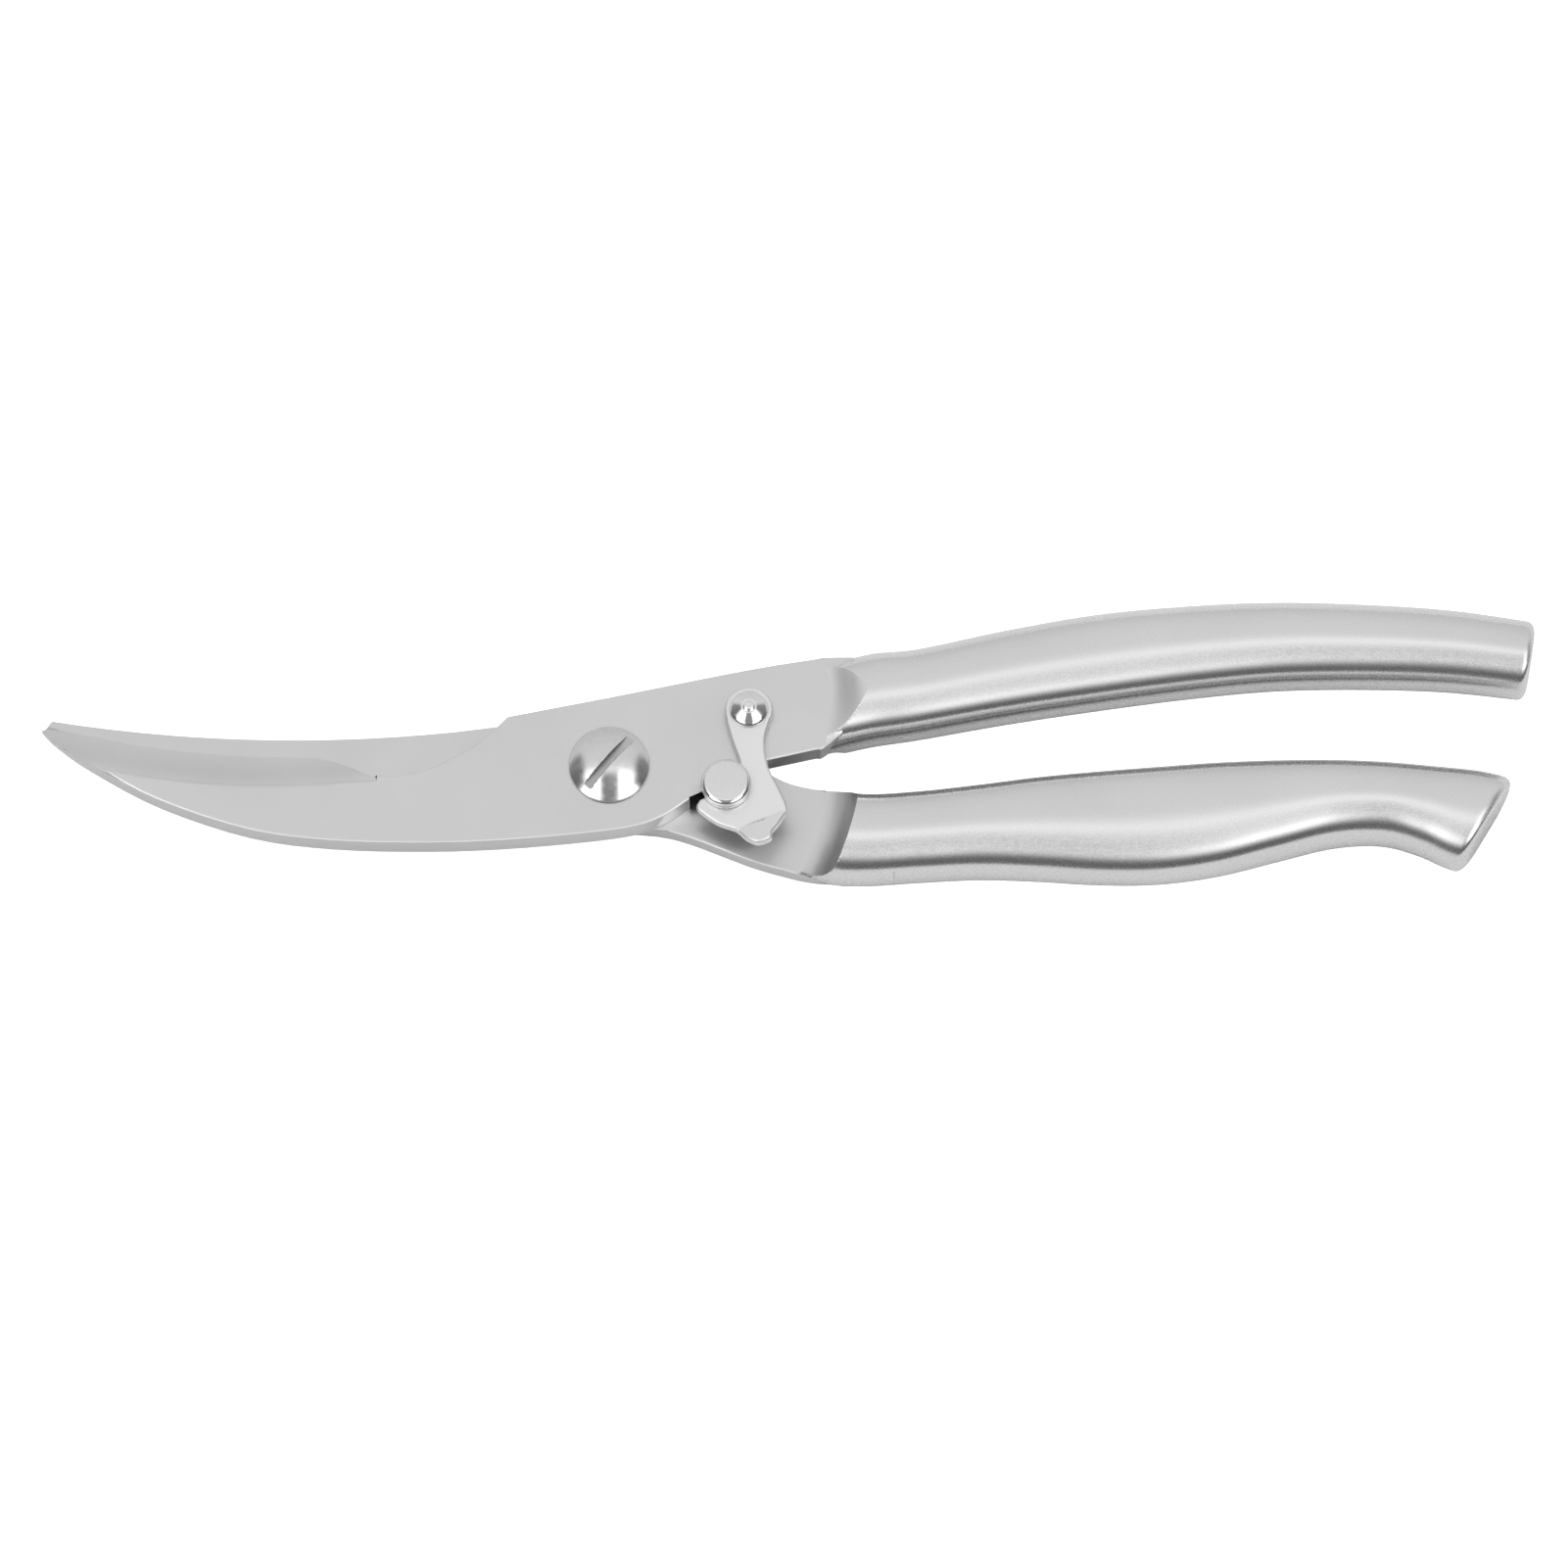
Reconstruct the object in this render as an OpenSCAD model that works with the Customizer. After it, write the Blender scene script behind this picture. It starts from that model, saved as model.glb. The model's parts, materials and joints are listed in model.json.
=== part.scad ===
// Poultry shears with a thumb latch, lying shut on their back face.
// Z is up, the table is at z = 0, and the pivot axis is the Z axis. The blades
// point to -X and the handles to +X. The front half is the one on top: it has
// the blade with the notch and the upper handle. The back half has the other
// blade and the lower handle.

/* [Blades] */
// Pivot axis to the point of the blades
blade_length = 95.6; // [85:0.2:110]
// Thickness of the front plate
front_thick = 4.5; // [3.6:0.1:5]
// Thickness of the back plate
back_thick = 3.5; // [3:0.1:4]
// Depth of the front blade's back below the pivot axis
belly_depth = 13.9; // [13:0.1:17]
// Height of the blades' points above the pivot axis, in plan
tip_rise = 8.2; // [7:0.1:9]
// Width of the front blade's hollow grind
grind_width = 7; // [5:0.1:8]
// Width of the back blade's hollow grind
back_grind_width = 6; // [4:0.1:7]
// Thickness left at a cutting edge
edge_thick = 0.5; // [0.3:0.05:0.8]
// Number of fine teeth on the front cutting edge
tooth_count = 28; // [10:1:34]
// Distance from one fine tooth to the next
tooth_pitch = 1.2; // [1:0.05:1.3]
// Depth of a fine tooth
tooth_depth = 0.5; // [0.3:0.05:0.7]
// Depth of the bone notch below the pivot axis
notch_depth = 1.95; // [1:0.05:2.6]

/* [Handles] */
// Pivot axis to the end of the upper handle
handle_length = 156.3; // [145:0.1:175]
// Height of a handle above the table
handle_thick = 13; // [12.6:0.1:15]
// Radius of the handles' rounded sides, seen end on
handle_round = 5.8; // [4:0.1:6]
// Lean of the handles' crowned face where it meets its rounded sides
handle_lean = 17; // [10:1:20]
// Sheet thickness of a handle's shells
shell_wall = 1.2; // [0.8:0.1:1.4]
// Length of each tang inside its handle
tang_length = 30; // [15:1:45]
// Radius of the corners at the handle ends
end_round = 2.4; // [1.5:0.1:3]

/* [Pivot] */
// Diameter of the domed screw head
head_dia = 13.5; // [12:0.1:15]
// Height of the domed screw head
head_height = 2.5; // [2:0.1:3]
// Diameter of the screw's bearing shoulder
shoulder_dia = 8; // [7:0.1:8.6]
// Thread diameter
thread_dia = 6; // [5:0.1:6.4]
// Width of the driver slot
slot_width = 1.4; // [1:0.1:2]
// Depth of the driver slot
slot_depth = 1.35; // [0.8:0.05:1.6]
// Width of the nut across its flats
nut_flats = 11; // [10:0.1:13]
// Height of the nut
nut_height = 2.2; // [1.8:0.1:2.6]
// Height of the spring washer
washer_height = 0.6; // [0.4:0.05:0.8]

/* [Lock] */
// Pivot axis to the lock pin, along X
pin_x = 19.6; // [19:0.1:20]
// Pivot axis to the lock pin, along Y
pin_y = -4.4; // [-4.8:0.1:-4]
// Diameter of the lock pin's head
pin_head_dia = 8.4; // [7.6:0.1:9]
// Height of the lock pin's head
pin_head_height = 2.1; // [1.5:0.1:2.6]
// Diameter of the lock pin's neck, where the latch hooks it
pin_neck_dia = 2.5; // [2:0.1:2.6]
// Diameter of the lock pin in the back plate
pin_dia = 4; // [3.4:0.1:4.4]
// Pivot axis to the latch rivet, along X
rivet_x = 23.4; // [23:0.1:23.8]
// Pivot axis to the latch rivet, along Y
rivet_y = 9.3; // [9:0.1:9.6]
// Diameter of the latch rivet's head
rivet_head_dia = 6.5; // [5.6:0.1:7.4]
// Height of the latch rivet's head
rivet_head_height = 1.7; // [1.2:0.1:2]
// Diameter of the latch rivet's shank
rivet_dia = 3.8; // [3.2:0.1:4.4]
// Thickness of the latch
latch_thick = 1.6; // [1.2:0.1:2]
// Thickness of the latch washer
latch_washer_thick = 0.4; // [0.3:0.05:0.6]
// Upward bend of the thumb tab, in degrees
tab_angle = 14; // [0:1:25]

/* [Spring] */
// Pivot axis to the middle of the spring channel
channel_radius = 7.9; // [7.6:0.1:8.2]
// Outer diameter of the spring
spring_dia = 2.5; // [2:0.1:2.6]
// Wire diameter of the spring
wire_dia = 0.5; // [0.3:0.05:0.6]
// Turns of the spring
spring_turns = 9; // [6:1:11]
// Angle that the shut spring fills, in degrees
spring_angle = 70; // [55:1:85]
// Diameter of the stop pin
stop_dia = 2.4; // [1.8:0.1:2.6]

/* [Motion] */
// How far the front half opens, in degrees
open_angle = 22; // [15:1:24]
// Turns of the latch for each turn of the front half
latch_ratio = 2.4; // [2.3:0.05:2.5]

/* [Fits] */
// Gap between the two plates
plate_gap = 0.05; // [0.03:0.01:0.1]
// Radial clearance of a turning bore
bore_clear = 0.05; // [0.03:0.01:0.08]
// Radial clearance of a fixed shank
fixed_clear = 0.02; // [0.01:0.01:0.04]
// Clearance round the lock pin
lock_clear = 0.2; // [0.15:0.01:0.25]
// Clearance round the spring and the stop pin in their channel
channel_clear = 0.2; // [0.15:0.01:0.3]

/* [Hidden] */
$fn = 64;

// Heights, from the table up.
back_z = nut_height + washer_height;
back_top = back_z + back_thick;
front_z = back_top + plate_gap;
front_top = front_z + front_thick;
latch_z = front_top + latch_washer_thick;
latch_top = latch_z + latch_thick;
rivet_head_z = latch_top + bore_clear;
seam_z = handle_thick / 2;
rivet_flare = 0.7;
stop_seat = 3;

// Places in plan.
pin_at = [pin_x, pin_y];
rivet_at = [rivet_x, rivet_y];
tip_x = -blade_length;
grind_radius = 130;
grind_at = [-0.596 * blade_length, -4.1 + grind_radius];
stop_turn = 205;
stop_half_turn = asin((stop_dia / 2 + channel_clear) / channel_radius);
channel_start = stop_turn - stop_half_turn - spring_angle;
channel_end = stop_turn + stop_half_turn + open_angle;
channel_width = spring_dia + 2 * channel_clear;
channel_depth = spring_dia + 2 * channel_clear;
channel_floor = back_top - channel_depth;

// Curves: a point on a circle, an arc, and a smooth curve through points.
function polar(r, a) = r * [cos(a), sin(a)];
function turned(p, a) = [p.x * cos(a) - p.y * sin(a), p.x * sin(a) + p.y * cos(a)];
function arc(c, r, a, b, n) = [for (i = [0:n]) c + polar(r, a + (b - a) * i / n)];
function flip(list) = [for (i = [len(list) - 1:-1:0]) list[i]];
function near(p, i) = p[max(0, min(len(p) - 1, i))];
function blend(a, b, c, d, t) = 0.5 * (2 * b + (c - a) * t
    + (2 * a - 5 * b + 4 * c - d) * t * t
    + (3 * b - a - 3 * c + d) * t * t * t);
function along(p, t) = let (i = min(floor(t), len(p) - 2))
    blend(near(p, i - 1), p[i], p[i + 1], near(p, i + 2), t - i);
function smooth(p, n) = [for (i = [0:(len(p) - 1) * n]) along(p, i / n)];

// The front plate: its back from the point to the pin, its bone notch and its
// top edge. Its cutting edge is one arc between the point and the notch.
front_back = [[tip_x, 7.4], [tip_x * 0.973, 4.7], [tip_x * 0.905, 0],
    [tip_x * 0.785, -belly_depth * 0.453], [tip_x * 0.628, -belly_depth * 0.827],
    [tip_x * 0.481, -belly_depth * 0.971], [tip_x * 0.314, -belly_depth],
    [-17, -belly_depth * 0.964], [-4, -12.2], [4, -11], [9, -9.1], [13.5, -6],
    [16, -4.3]];
front_notch = [[-49.3, 2.75], [-44.5, 1.1], [-40, -notch_depth + 0.5],
    [-36, -notch_depth], [-30, -0.6], [-25.2, 1.9], [-21.6, 4.2], [-17.1, 8.7]];
front_ridge = [[-17.1, 8.7], [0, 12.2], [22.6, 17], [34, 19], [39, 19.6], [44, 19.2]];
front_foot = [[44, 7.7], [40.5, 5.6], [36, 3.1], [26.4, 0.9]];

// Each long edge of a blade is one arc, from its lowest point to the blade's end.
function arc_radius(low, end) = norm(end - low) ^ 2 / (2 * (end.y - low.y));
function on_arc(low, r, x) = [x, low.y + r - sqrt(r ^ 2 - (x - low.x) ^ 2)];
edge_low = [-46.2, 2.75];
edge_end = [tip_x + 1.3, tip_rise];
edge_radius = arc_radius(edge_low, edge_end);

// The back plate: a gently hollow back over a full curved cutting edge.
spine_low = [0.556 * tip_x, 6.2];
spine_end = [tip_x + 1.6, tip_rise + 1.4];
spine_radius = arc_radius(spine_low, spine_end);
back_edge_low = [-10.4, -8.7];
back_edge_end = [tip_x + 1.1, tip_rise - 0.6];
back_edge_radius = arc_radius(back_edge_low, back_edge_end);
back_ridge = [[-19, 8.6], [-9, 9.6], [2, 10.6], [12, 9], [20, 4.6], [27.7, -0.4],
    [31.5, -2], [36, -3], [43, -5.1]];
back_foot = [[43, -18.4], [36, -18.4], [32.5, -17.9], [29, -17.05], [24, -15.5],
    [19, -13.5], [13.5, -11.3], [8, -9.9], [-2, -9.3], [-15, -8.65]];

// Stations of the handles: upper-edge point, then lower-edge point. Those past
// the bolsters stretch with the handles' length.
upper_plan = [[36, 19.2, 36, 3.2], [44, 21.16, 44, 5.44], [52, 22.06, 52, 6.74],
    [67, 25.46, 67, 9.54], [82, 28.26, 82, 11.94], [97, 29.76, 97, 14.04],
    [112, 30.46, 112, 15.54], [127, 30.06, 127, 15.84],
    [142.04, 28.96, 141.46, 15.34], [156.43, 26.75, 154.47, 13.85]];
lower_plan = [[32, -2.3, 32, -17.7], [37, -2.95, 37, -19.1],
    [43, -4.05, 43, -19.45], [52, -3.54, 52, -18.86], [62, -2.34, 62, -18.36],
    [72, -0.94, 72, -18.66], [82, 0.11, 82, -19.26], [92, 0.96, 92, -19.16],
    [102, 1.71, 102, -17.76], [112, 2.06, 112, -15.16],
    [122.03, 2.06, 121.47, -12.76], [130.57, 1.66, 129.43, -12.36],
    [138.69, 0.94, 135.31, -13.94], [146.2, 0.15, 139.67, -15.99],
    [152.1, -1.25, 142.6, -17.1]];
bolster_end = 48;
stretch_from = 53;
stretch = handle_length / upper_plan[len(upper_plan) - 1][0];
function stretched(plan) = [for (r = plan)
    r[0] < stretch_from ? r : [r[0] * stretch, r[1], r[2] * stretch, r[3]]];
upper_rows = stretched(upper_plan);
lower_rows = stretched(lower_plan);

// Shoulders, where a handle's full thickness is milled down to its plate: each is
// a ring of that radius and width, about the pivot axis or its own middle.
upper_shoulder_at = [18.4, 11.4];
upper_shoulder_radius = 20;
upper_shoulder_width = 5.1;
upper_foot_radius = 38.5;
upper_foot_width = 4.3;
lower_shoulder_radius = 36;
lower_shoulder_width = 6;
lower_foot_radius = 37;
lower_foot_width = 3;

// The latch's outline from its rivet's axis: right side, left side, then the
// edge of the thumb tab. The tab is bent up along a crease.
latch_right = [[4, -22.3], [5.5, -20.1], [6.45, -17.6], [4.9, -13.8], [3.5, -10.9],
    [2.75, -7.6], [2.75, -4.7], [3.5, -1.9]];
latch_left = [[-3.7, -2.3], [-2.8, -5.5], [-1.5, -9.4], [-1.7, -11.6]];
latch_tab = [[-8.1, -16.1], [-8.7, -17.3], [-8, -18.4], [-5.05, -20.5], [-2.1, -21.6],
    [-0.4, -23.4], [1.8, -24.5], [4, -23.6]];
latch_eye = 4.05;
crease_at = [-0.4, -20.8];
crease_turn = 22.4;

// Half a handle section, from its upper edge to its lower edge: [across, up].
// Each rounded side ends at the lean at which the crowned face starts, and keeps
// clear of the seam between the two halves.
function corner(inset, r, lift, lean) = [for (i = [0:5]) let (a = (90 - lean) * i / 5)
    [inset + r * (1 - cos(a)), lift + r * sin(a)]];
function half_section(w, lean, inset, inset_up) =
    let (span = w - 2 * inset, draw = 1 - sin(lean),
        r = min(handle_round - inset_up, span / 2.05,
            (seam_z - 0.02 - inset_up - tan(lean) * span / 4)
                / (cos(lean) - tan(lean) * draw / 2)),
        face = span - 2 * r * draw, rise = tan(lean) * face / 4,
        edge = handle_thick - inset_up - rise - r * cos(lean),
        left = corner(inset, r, edge, lean))
    concat(left,
        [for (k = [1:3]) [w / 2 + face * (k / 4 - 0.5),
            handle_thick - inset_up - rise * (k / 2 - 1) ^ 2]],
        [for (p = flip(left)) [w - p.x, p.y]]);
function placed(row, points) = let (a = [row[0], row[1]], b = [row[2], row[3]],
    w = norm(b - a)) [for (p = points) let (q = a + (b - a) * p.x / w) [q.x, q.y, p.y]];
function row_width(row) = norm([row[2] - row[0], row[3] - row[1]]);
function down(points) = [for (p = points) [p.x, handle_thick - p.y]];

// One ring of a solid handle piece, and one of an open shell.
function solid_ring(row, inset, inset_up) = let (w = row_width(row))
    placed(row, concat(half_section(w, handle_lean, inset, inset_up),
        flip(down(half_section(w, 0, inset, inset_up)))));
function shell_side(row, lean, inset) = let (w = row_width(row))
    concat([[inset, seam_z]], half_section(w, lean, inset, inset), [[w - inset, seam_z]]);
function shell_ring(row, top) = let (lean = top ? handle_lean : 0,
    outside = shell_side(row, lean, 0), inside = shell_side(row, lean, shell_wall),
    ring = concat(outside, flip(inside)))
    placed(row, top ? ring : flip(down(ring)));

// A closed skin over rings that have the same number of points.
module loft(rings) {
    n = len(rings[0]);
    last = (len(rings) - 1) * n;
    half = n / 2;
    sides = [for (k = [0:len(rings) - 2]) for (i = [0:n - 1])
        let (a = k * n + i, b = k * n + (i + 1) % n)
        each [[a, b + n, b], [a, a + n, b + n]]];
    ends = [for (i = [0:half - 2]) let (j = n - 1 - i)
        each [[i, j - 1, j], [i, i + 1, j - 1],
            [last + i, last + j, last + j - 1], [last + i, last + j - 1, last + i + 1]]];
    polyhedron([for (r = rings) each r], concat(sides, ends), convexity = 6);
}

// A piece of handle: its bolster, one of its shells, or its rounded end.
function row_at(rows, x) = lookup(x, [for (i = [0:len(rows) - 1]) [rows[i][0], i]]);
function steps(a, b, n) = [for (i = [0:n]) a + (b - a) * i / n];
function end_step(rows) = let (n = len(rows) - 1, d = rows[n] - rows[n - 1])
    1 / norm([d[0] + d[2], d[1] + d[3]] / 2);
function cap_start(rows) = len(rows) - 1 - (end_round + 1) * end_step(rows);
module solid_handle(rows, a, b, n) {
    loft([for (t = steps(a, b, n)) solid_ring(along(rows, t), 0, 0)]);
}
module handle_shell(rows, top) {
    a = row_at(rows, bolster_end);
    b = cap_start(rows);
    loft([for (t = steps(a, b, 26)) shell_ring(along(rows, t), top)]);
}
module handle_end(rows) {
    n = len(rows) - 1;
    full = solid_ring(along(rows, cap_start(rows)), 0, 0);
    loft(concat([full], [for (a = [0:18:90])
        let (inset = end_round * (1 - cos(a)))
        solid_ring(along(rows, n - end_round * end_step(rows) * (1 - sin(a))),
            inset, inset * 0.6)]));
}

// What is milled off a bolster: a ring with a hollow shoulder, round the pivot
// axis, from the plate's face to the handle's face.
function shoulder(r, width, z, rise) =
    let (round = (width ^ 2 + rise ^ 2) / (2 * abs(rise)), top = asin(width / round),
        way = sign(rise))
    [for (i = [0:8]) [r + round * sin(top * i / 8), z + way * round * (1 - cos(top * i / 8))]];
module ring_cut(r, width, z, rise) {
    way = sign(rise);
    rotate_extrude()
        polygon(concat([[0, z + rise + way], [0, z]], shoulder(r, width, z, rise),
            [[r + width, z + rise + way]]));
}

// A narrow tongue of plate that runs on inside the handle.
module tang(rows, z, thick) {
    ts = steps(row_at(rows, bolster_end - 4), row_at(rows, bolster_end + tang_length), 8);
    points = [for (t = ts) along(rows, t)];
    translate([0, 0, z])
        linear_extrude(thick)
            polygon(concat([for (p = points) [p[0] * 0.7 + p[2] * 0.3, p[1] * 0.7 + p[3] * 0.3]],
                flip([for (p = points) [p[0] * 0.3 + p[2] * 0.7, p[1] * 0.3 + p[3] * 0.7]])));
}

module front_outline() {
    polygon(concat(smooth(front_back, 4), flip(front_foot), flip(smooth(front_ridge, 3)),
        flip(smooth(front_notch, 4)),
        [for (x = steps(front_notch[0].x - 1, edge_end.x, 16))
            on_arc(edge_low, edge_radius, x)]));
}

// The hollow grind that thins the front blade to its cutting edge.
module front_grind() {
    low = front_z + edge_thick;
    translate([grind_at.x, grind_at.y, 0])
        rotate(246)
            rotate_extrude(angle = 32)
                polygon(concat([[grind_radius - 16, front_top + 1], [grind_radius - 16, low],
                    [grind_radius - grind_width, low]],
                    [for (i = [1:7]) let (s = i / 7)
                        [grind_radius - grind_width * (1 - s),
                            low + (front_top - low) * (0.55 * s + 0.45 * s ^ 2)]],
                    [[grind_radius, front_top + 1]]));
}
module front_teeth() {
    pitch = tooth_pitch / edge_radius * 180 / PI;
    first = asin((front_notch[0].x - 2 - edge_low.x) / edge_radius);
    for (i = [0:tooth_count - 1])
        translate([edge_low.x, edge_low.y + edge_radius, front_z - 1])
            rotate(first - i * pitch)
                translate([0, -edge_radius, 0])
                    linear_extrude(edge_thick + 2)
                        polygon([[-0.3, 0.4], [0.3, 0.4], [0, -tooth_depth]]);
}

module front_blade() {
    color([0.79, 0.79, 0.8])
    difference() {
        union() {
            translate([0, 0, front_z])
                linear_extrude(front_thick)
                    front_outline();
            difference() {
                solid_handle(upper_rows, 0, row_at(upper_rows, bolster_end), 6);
                ring_cut(upper_foot_radius, upper_foot_width, front_z, -front_z);
                translate([upper_shoulder_at.x, upper_shoulder_at.y, 0])
                    ring_cut(upper_shoulder_radius, upper_shoulder_width, front_top,
                        handle_thick - front_top);
            }
            tang(upper_rows, front_z, front_thick);
        }
        translate([0, 0, front_z - 1])
            cylinder(r = shoulder_dia / 2 + bore_clear, h = front_thick + 2);
        translate([rivet_x, rivet_y, front_z - 1])
            cylinder(d = rivet_dia + 2 * fixed_clear, h = front_thick + 2);
        translate([rivet_x, rivet_y, front_z])
            rivet_sink(rivet_dia / 2 + fixed_clear);
        translate([pin_x, pin_y, front_z - 1])
            cylinder(d = pin_dia + 2 * lock_clear, h = front_thick + 2);
        rotate(stop_turn)
            translate([channel_radius, 0, front_z - 1])
                cylinder(d = stop_dia + 2 * fixed_clear, h = stop_seat + 1);
        front_grind();
        front_teeth();
    }
}
// The flare of a riveted shank, sunk in the plate below it.
module rivet_sink(r) {
    cylinder(r1 = r + rivet_flare, r2 = r, h = rivet_flare);
}

module back_blade() {
    color([0.76, 0.76, 0.77])
    difference() {
        union() {
            translate([0, 0, back_z])
                linear_extrude(back_thick)
                    polygon(concat([[tip_x + 0.6, tip_rise]],
                        [for (x = steps(spine_end.x, -26, 13))
                            on_arc(spine_low, spine_radius, x)],
                        smooth(back_ridge, 3), smooth(back_foot, 3),
                        [for (x = steps(-22, back_edge_end.x, 14))
                            on_arc(back_edge_low, back_edge_radius, x)]));
            difference() {
                solid_handle(lower_rows, 0, row_at(lower_rows, bolster_end), 8);
                ring_cut(lower_shoulder_radius, lower_shoulder_width, back_top,
                    handle_thick - back_top);
                ring_cut(lower_foot_radius, lower_foot_width, back_z, -back_z);
            }
            tang(lower_rows, back_z, back_thick);
        }
        translate([0, 0, back_z - 1])
            cylinder(r = shoulder_dia / 2 + fixed_clear, h = back_thick + 2);
        translate([pin_x, pin_y, back_z - 1])
            cylinder(d = pin_dia + 2 * fixed_clear, h = back_thick + 2);
        translate([pin_x, pin_y, back_z])
            rivet_sink(pin_dia / 2 + fixed_clear);
        rotate(channel_start)
            rotate_extrude(angle = channel_end - channel_start)
                translate([channel_radius - channel_width / 2, channel_floor])
                    square([channel_width, channel_depth + 1]);
        back_grind();
    }
}
// The hollow grind on the back blade's far face.
module back_grind() {
    r = back_edge_radius;
    high = back_top - edge_thick;
    translate([back_edge_low.x, back_edge_low.y + r, 0])
        rotate(246)
            rotate_extrude(angle = 22)
                polygon(concat([[r + 6, back_z - 1], [r + 6, high], [r, high]],
                    [for (i = [1:6]) let (s = i / 6)
                        [r - back_grind_width * s,
                            high - (high - back_z) * (0.55 * s + 0.45 * s ^ 2)]],
                    [[r - back_grind_width, back_z - 1]]));
}

module upper_handle_front_shell() {
    color([0.8, 0.8, 0.81])
        handle_shell(upper_rows, true);
}
module upper_handle_back_shell() {
    color([0.78, 0.78, 0.79])
        handle_shell(upper_rows, false);
}
module lower_handle_front_shell() {
    color([0.8, 0.8, 0.81])
        handle_shell(lower_rows, true);
}
module lower_handle_back_shell() {
    color([0.78, 0.78, 0.79])
        handle_shell(lower_rows, false);
}
module upper_handle_end_cap() {
    color([0.77, 0.77, 0.78])
        handle_end(upper_rows);
}
module lower_handle_end_cap() {
    color([0.77, 0.77, 0.78])
        handle_end(lower_rows);
}

// The screw: thread, shoulder and domed head in one turned piece, then slotted.
module pivot_screw() {
    z = front_top + plate_gap;
    rim = 0.5;
    cap = head_height - rim;
    ball = (head_dia ^ 2 / 4 + cap ^ 2) / (2 * cap);
    color([0.85, 0.85, 0.86])
    difference() {
        union() {
            rotate_extrude()
                polygon([[0, 0], [thread_dia / 2 - 0.5, 0], [thread_dia / 2, 0.5],
                    [thread_dia / 2, back_z], [shoulder_dia / 2, back_z],
                    [shoulder_dia / 2, z + rim / 2], [0, z + rim / 2]]);
            intersection() {
                translate([0, 0, z])
                    cylinder(d = head_dia, h = head_height);
                translate([0, 0, z + head_height - ball])
                    sphere(r = ball, $fn = 180);
            }
        }
        translate([0, 0, z + head_height])
            rotate(50)
                cube([head_dia + 2, slot_width, 2 * slot_depth], center = true);
    }
}
module pivot_spring_washer() {
    inner = thread_dia / 2 + 0.2;
    outer = inner + 2;
    sheet = washer_height * 0.6;
    color([0.6, 0.6, 0.62])
        rotate_extrude()
            polygon([[inner, back_z - sheet], [outer, nut_height],
                [outer, nut_height + sheet], [inner, back_z]]);
}
module pivot_nut() {
    bevel = 0.4;
    corner_r = nut_flats / sqrt(3);
    color([0.7, 0.7, 0.72])
    difference() {
        intersection() {
            cylinder(r = corner_r, h = nut_height, $fn = 6);
            rotate_extrude()
                polygon([[0, 0], [corner_r - bevel, 0], [corner_r, bevel],
                    [corner_r, nut_height], [0, nut_height]]);
        }
        translate([0, 0, -1])
            cylinder(d = thread_dia + 2 * fixed_clear, h = nut_height + 2);
    }
}

// Where the lock pin's middle lies in the latch's own frame, once the front
// half has opened by this angle and the latch has turned by its share.
function pin_seen(open) = rivet_at
    + turned(turned(pin_at, -open) - rivet_at, -latch_ratio * open);
function hook_edge(open) =
    let (way = pin_seen(open + 0.1) - pin_seen(open), side = [-way.y, way.x] / norm(way))
    pin_seen(open) + side * (pin_neck_dia / 2 + lock_clear);
function from_rivet(points) = [for (p = points) rivet_at + p];
module latch_outline() {
    polygon(concat(
        smooth(from_rivet(latch_right), 3),
        arc(rivet_at, latch_eye, -15, 195, 14),
        smooth(from_rivet(latch_left), 3),
        arc(pin_at, pin_neck_dia / 2 + lock_clear + 0.1, 10, -70, 6),
        [for (open = [0.2:0.6:4.4]) hook_edge(open)],
        smooth(from_rivet(latch_tab), 3)));
}
module lock_latch() {
    crease = rivet_at + crease_at;
    color([0.86, 0.86, 0.86])
    difference() {
        union() {
            translate([0, 0, latch_z])
                linear_extrude(latch_thick)
                    difference() {
                        latch_outline();
                        tab_side();
                    }
            translate([crease.x, crease.y, latch_z])
                rotate(crease_turn)
                    rotate([-tab_angle, 0, 0])
                        rotate(-crease_turn)
                            translate([-crease.x, -crease.y, 0])
                                linear_extrude(latch_thick)
                                    intersection() {
                                        latch_outline();
                                        tab_side();
                                    }
        }
        translate([rivet_x, rivet_y, latch_z - 1])
            cylinder(r = rivet_dia / 2 + bore_clear, h = latch_thick + 2);
    }
}
// The side of the crease that the thumb tab is on.
module tab_side() {
    side = 5 * latch_eye;
    translate(rivet_at + crease_at)
        rotate(crease_turn)
            translate([-side, -side])
                square([2 * side, side]);
}
module latch_rivet() {
    r = rivet_dia / 2;
    head = rivet_head_dia / 2;
    rim = rivet_head_height * 0.25;
    color([0.83, 0.83, 0.84])
        rotate_about(rivet_at)
            polygon([[0, front_z], [r + rivet_flare, front_z], [r, front_z + rivet_flare],
                [r, rivet_head_z], [head, rivet_head_z], [head, rivet_head_z + rim],
                [head * 0.9, rivet_head_z + rim * 1.8],
                [head * 0.35, rivet_head_z + rivet_head_height * 0.93],
                [0, rivet_head_z + rivet_head_height]]);
}
module latch_washer() {
    color([0.62, 0.62, 0.64])
        rotate_about(rivet_at)
            translate([rivet_dia / 2 + fixed_clear, front_top])
                square([2, latch_washer_thick]);
}
module lock_pin() {
    r = pin_dia / 2;
    neck = pin_neck_dia / 2;
    head = pin_head_dia / 2;
    z = latch_top + 2 * bore_clear;
    edge = 0.8;
    color([0.82, 0.82, 0.83])
        rotate_about(pin_at)
            polygon(concat([[0, back_z], [r + rivet_flare, back_z],
                [r, back_z + rivet_flare], [r, front_top - 0.3], [neck, front_top],
                [neck, z], [head, z]],
                arc([head - edge, z + pin_head_height - edge], edge, 0, 90, 4),
                [[0, z + pin_head_height]]));
}
module rotate_about(p) {
    translate([p.x, p.y, 0])
        rotate_extrude()
            children();
}

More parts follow.
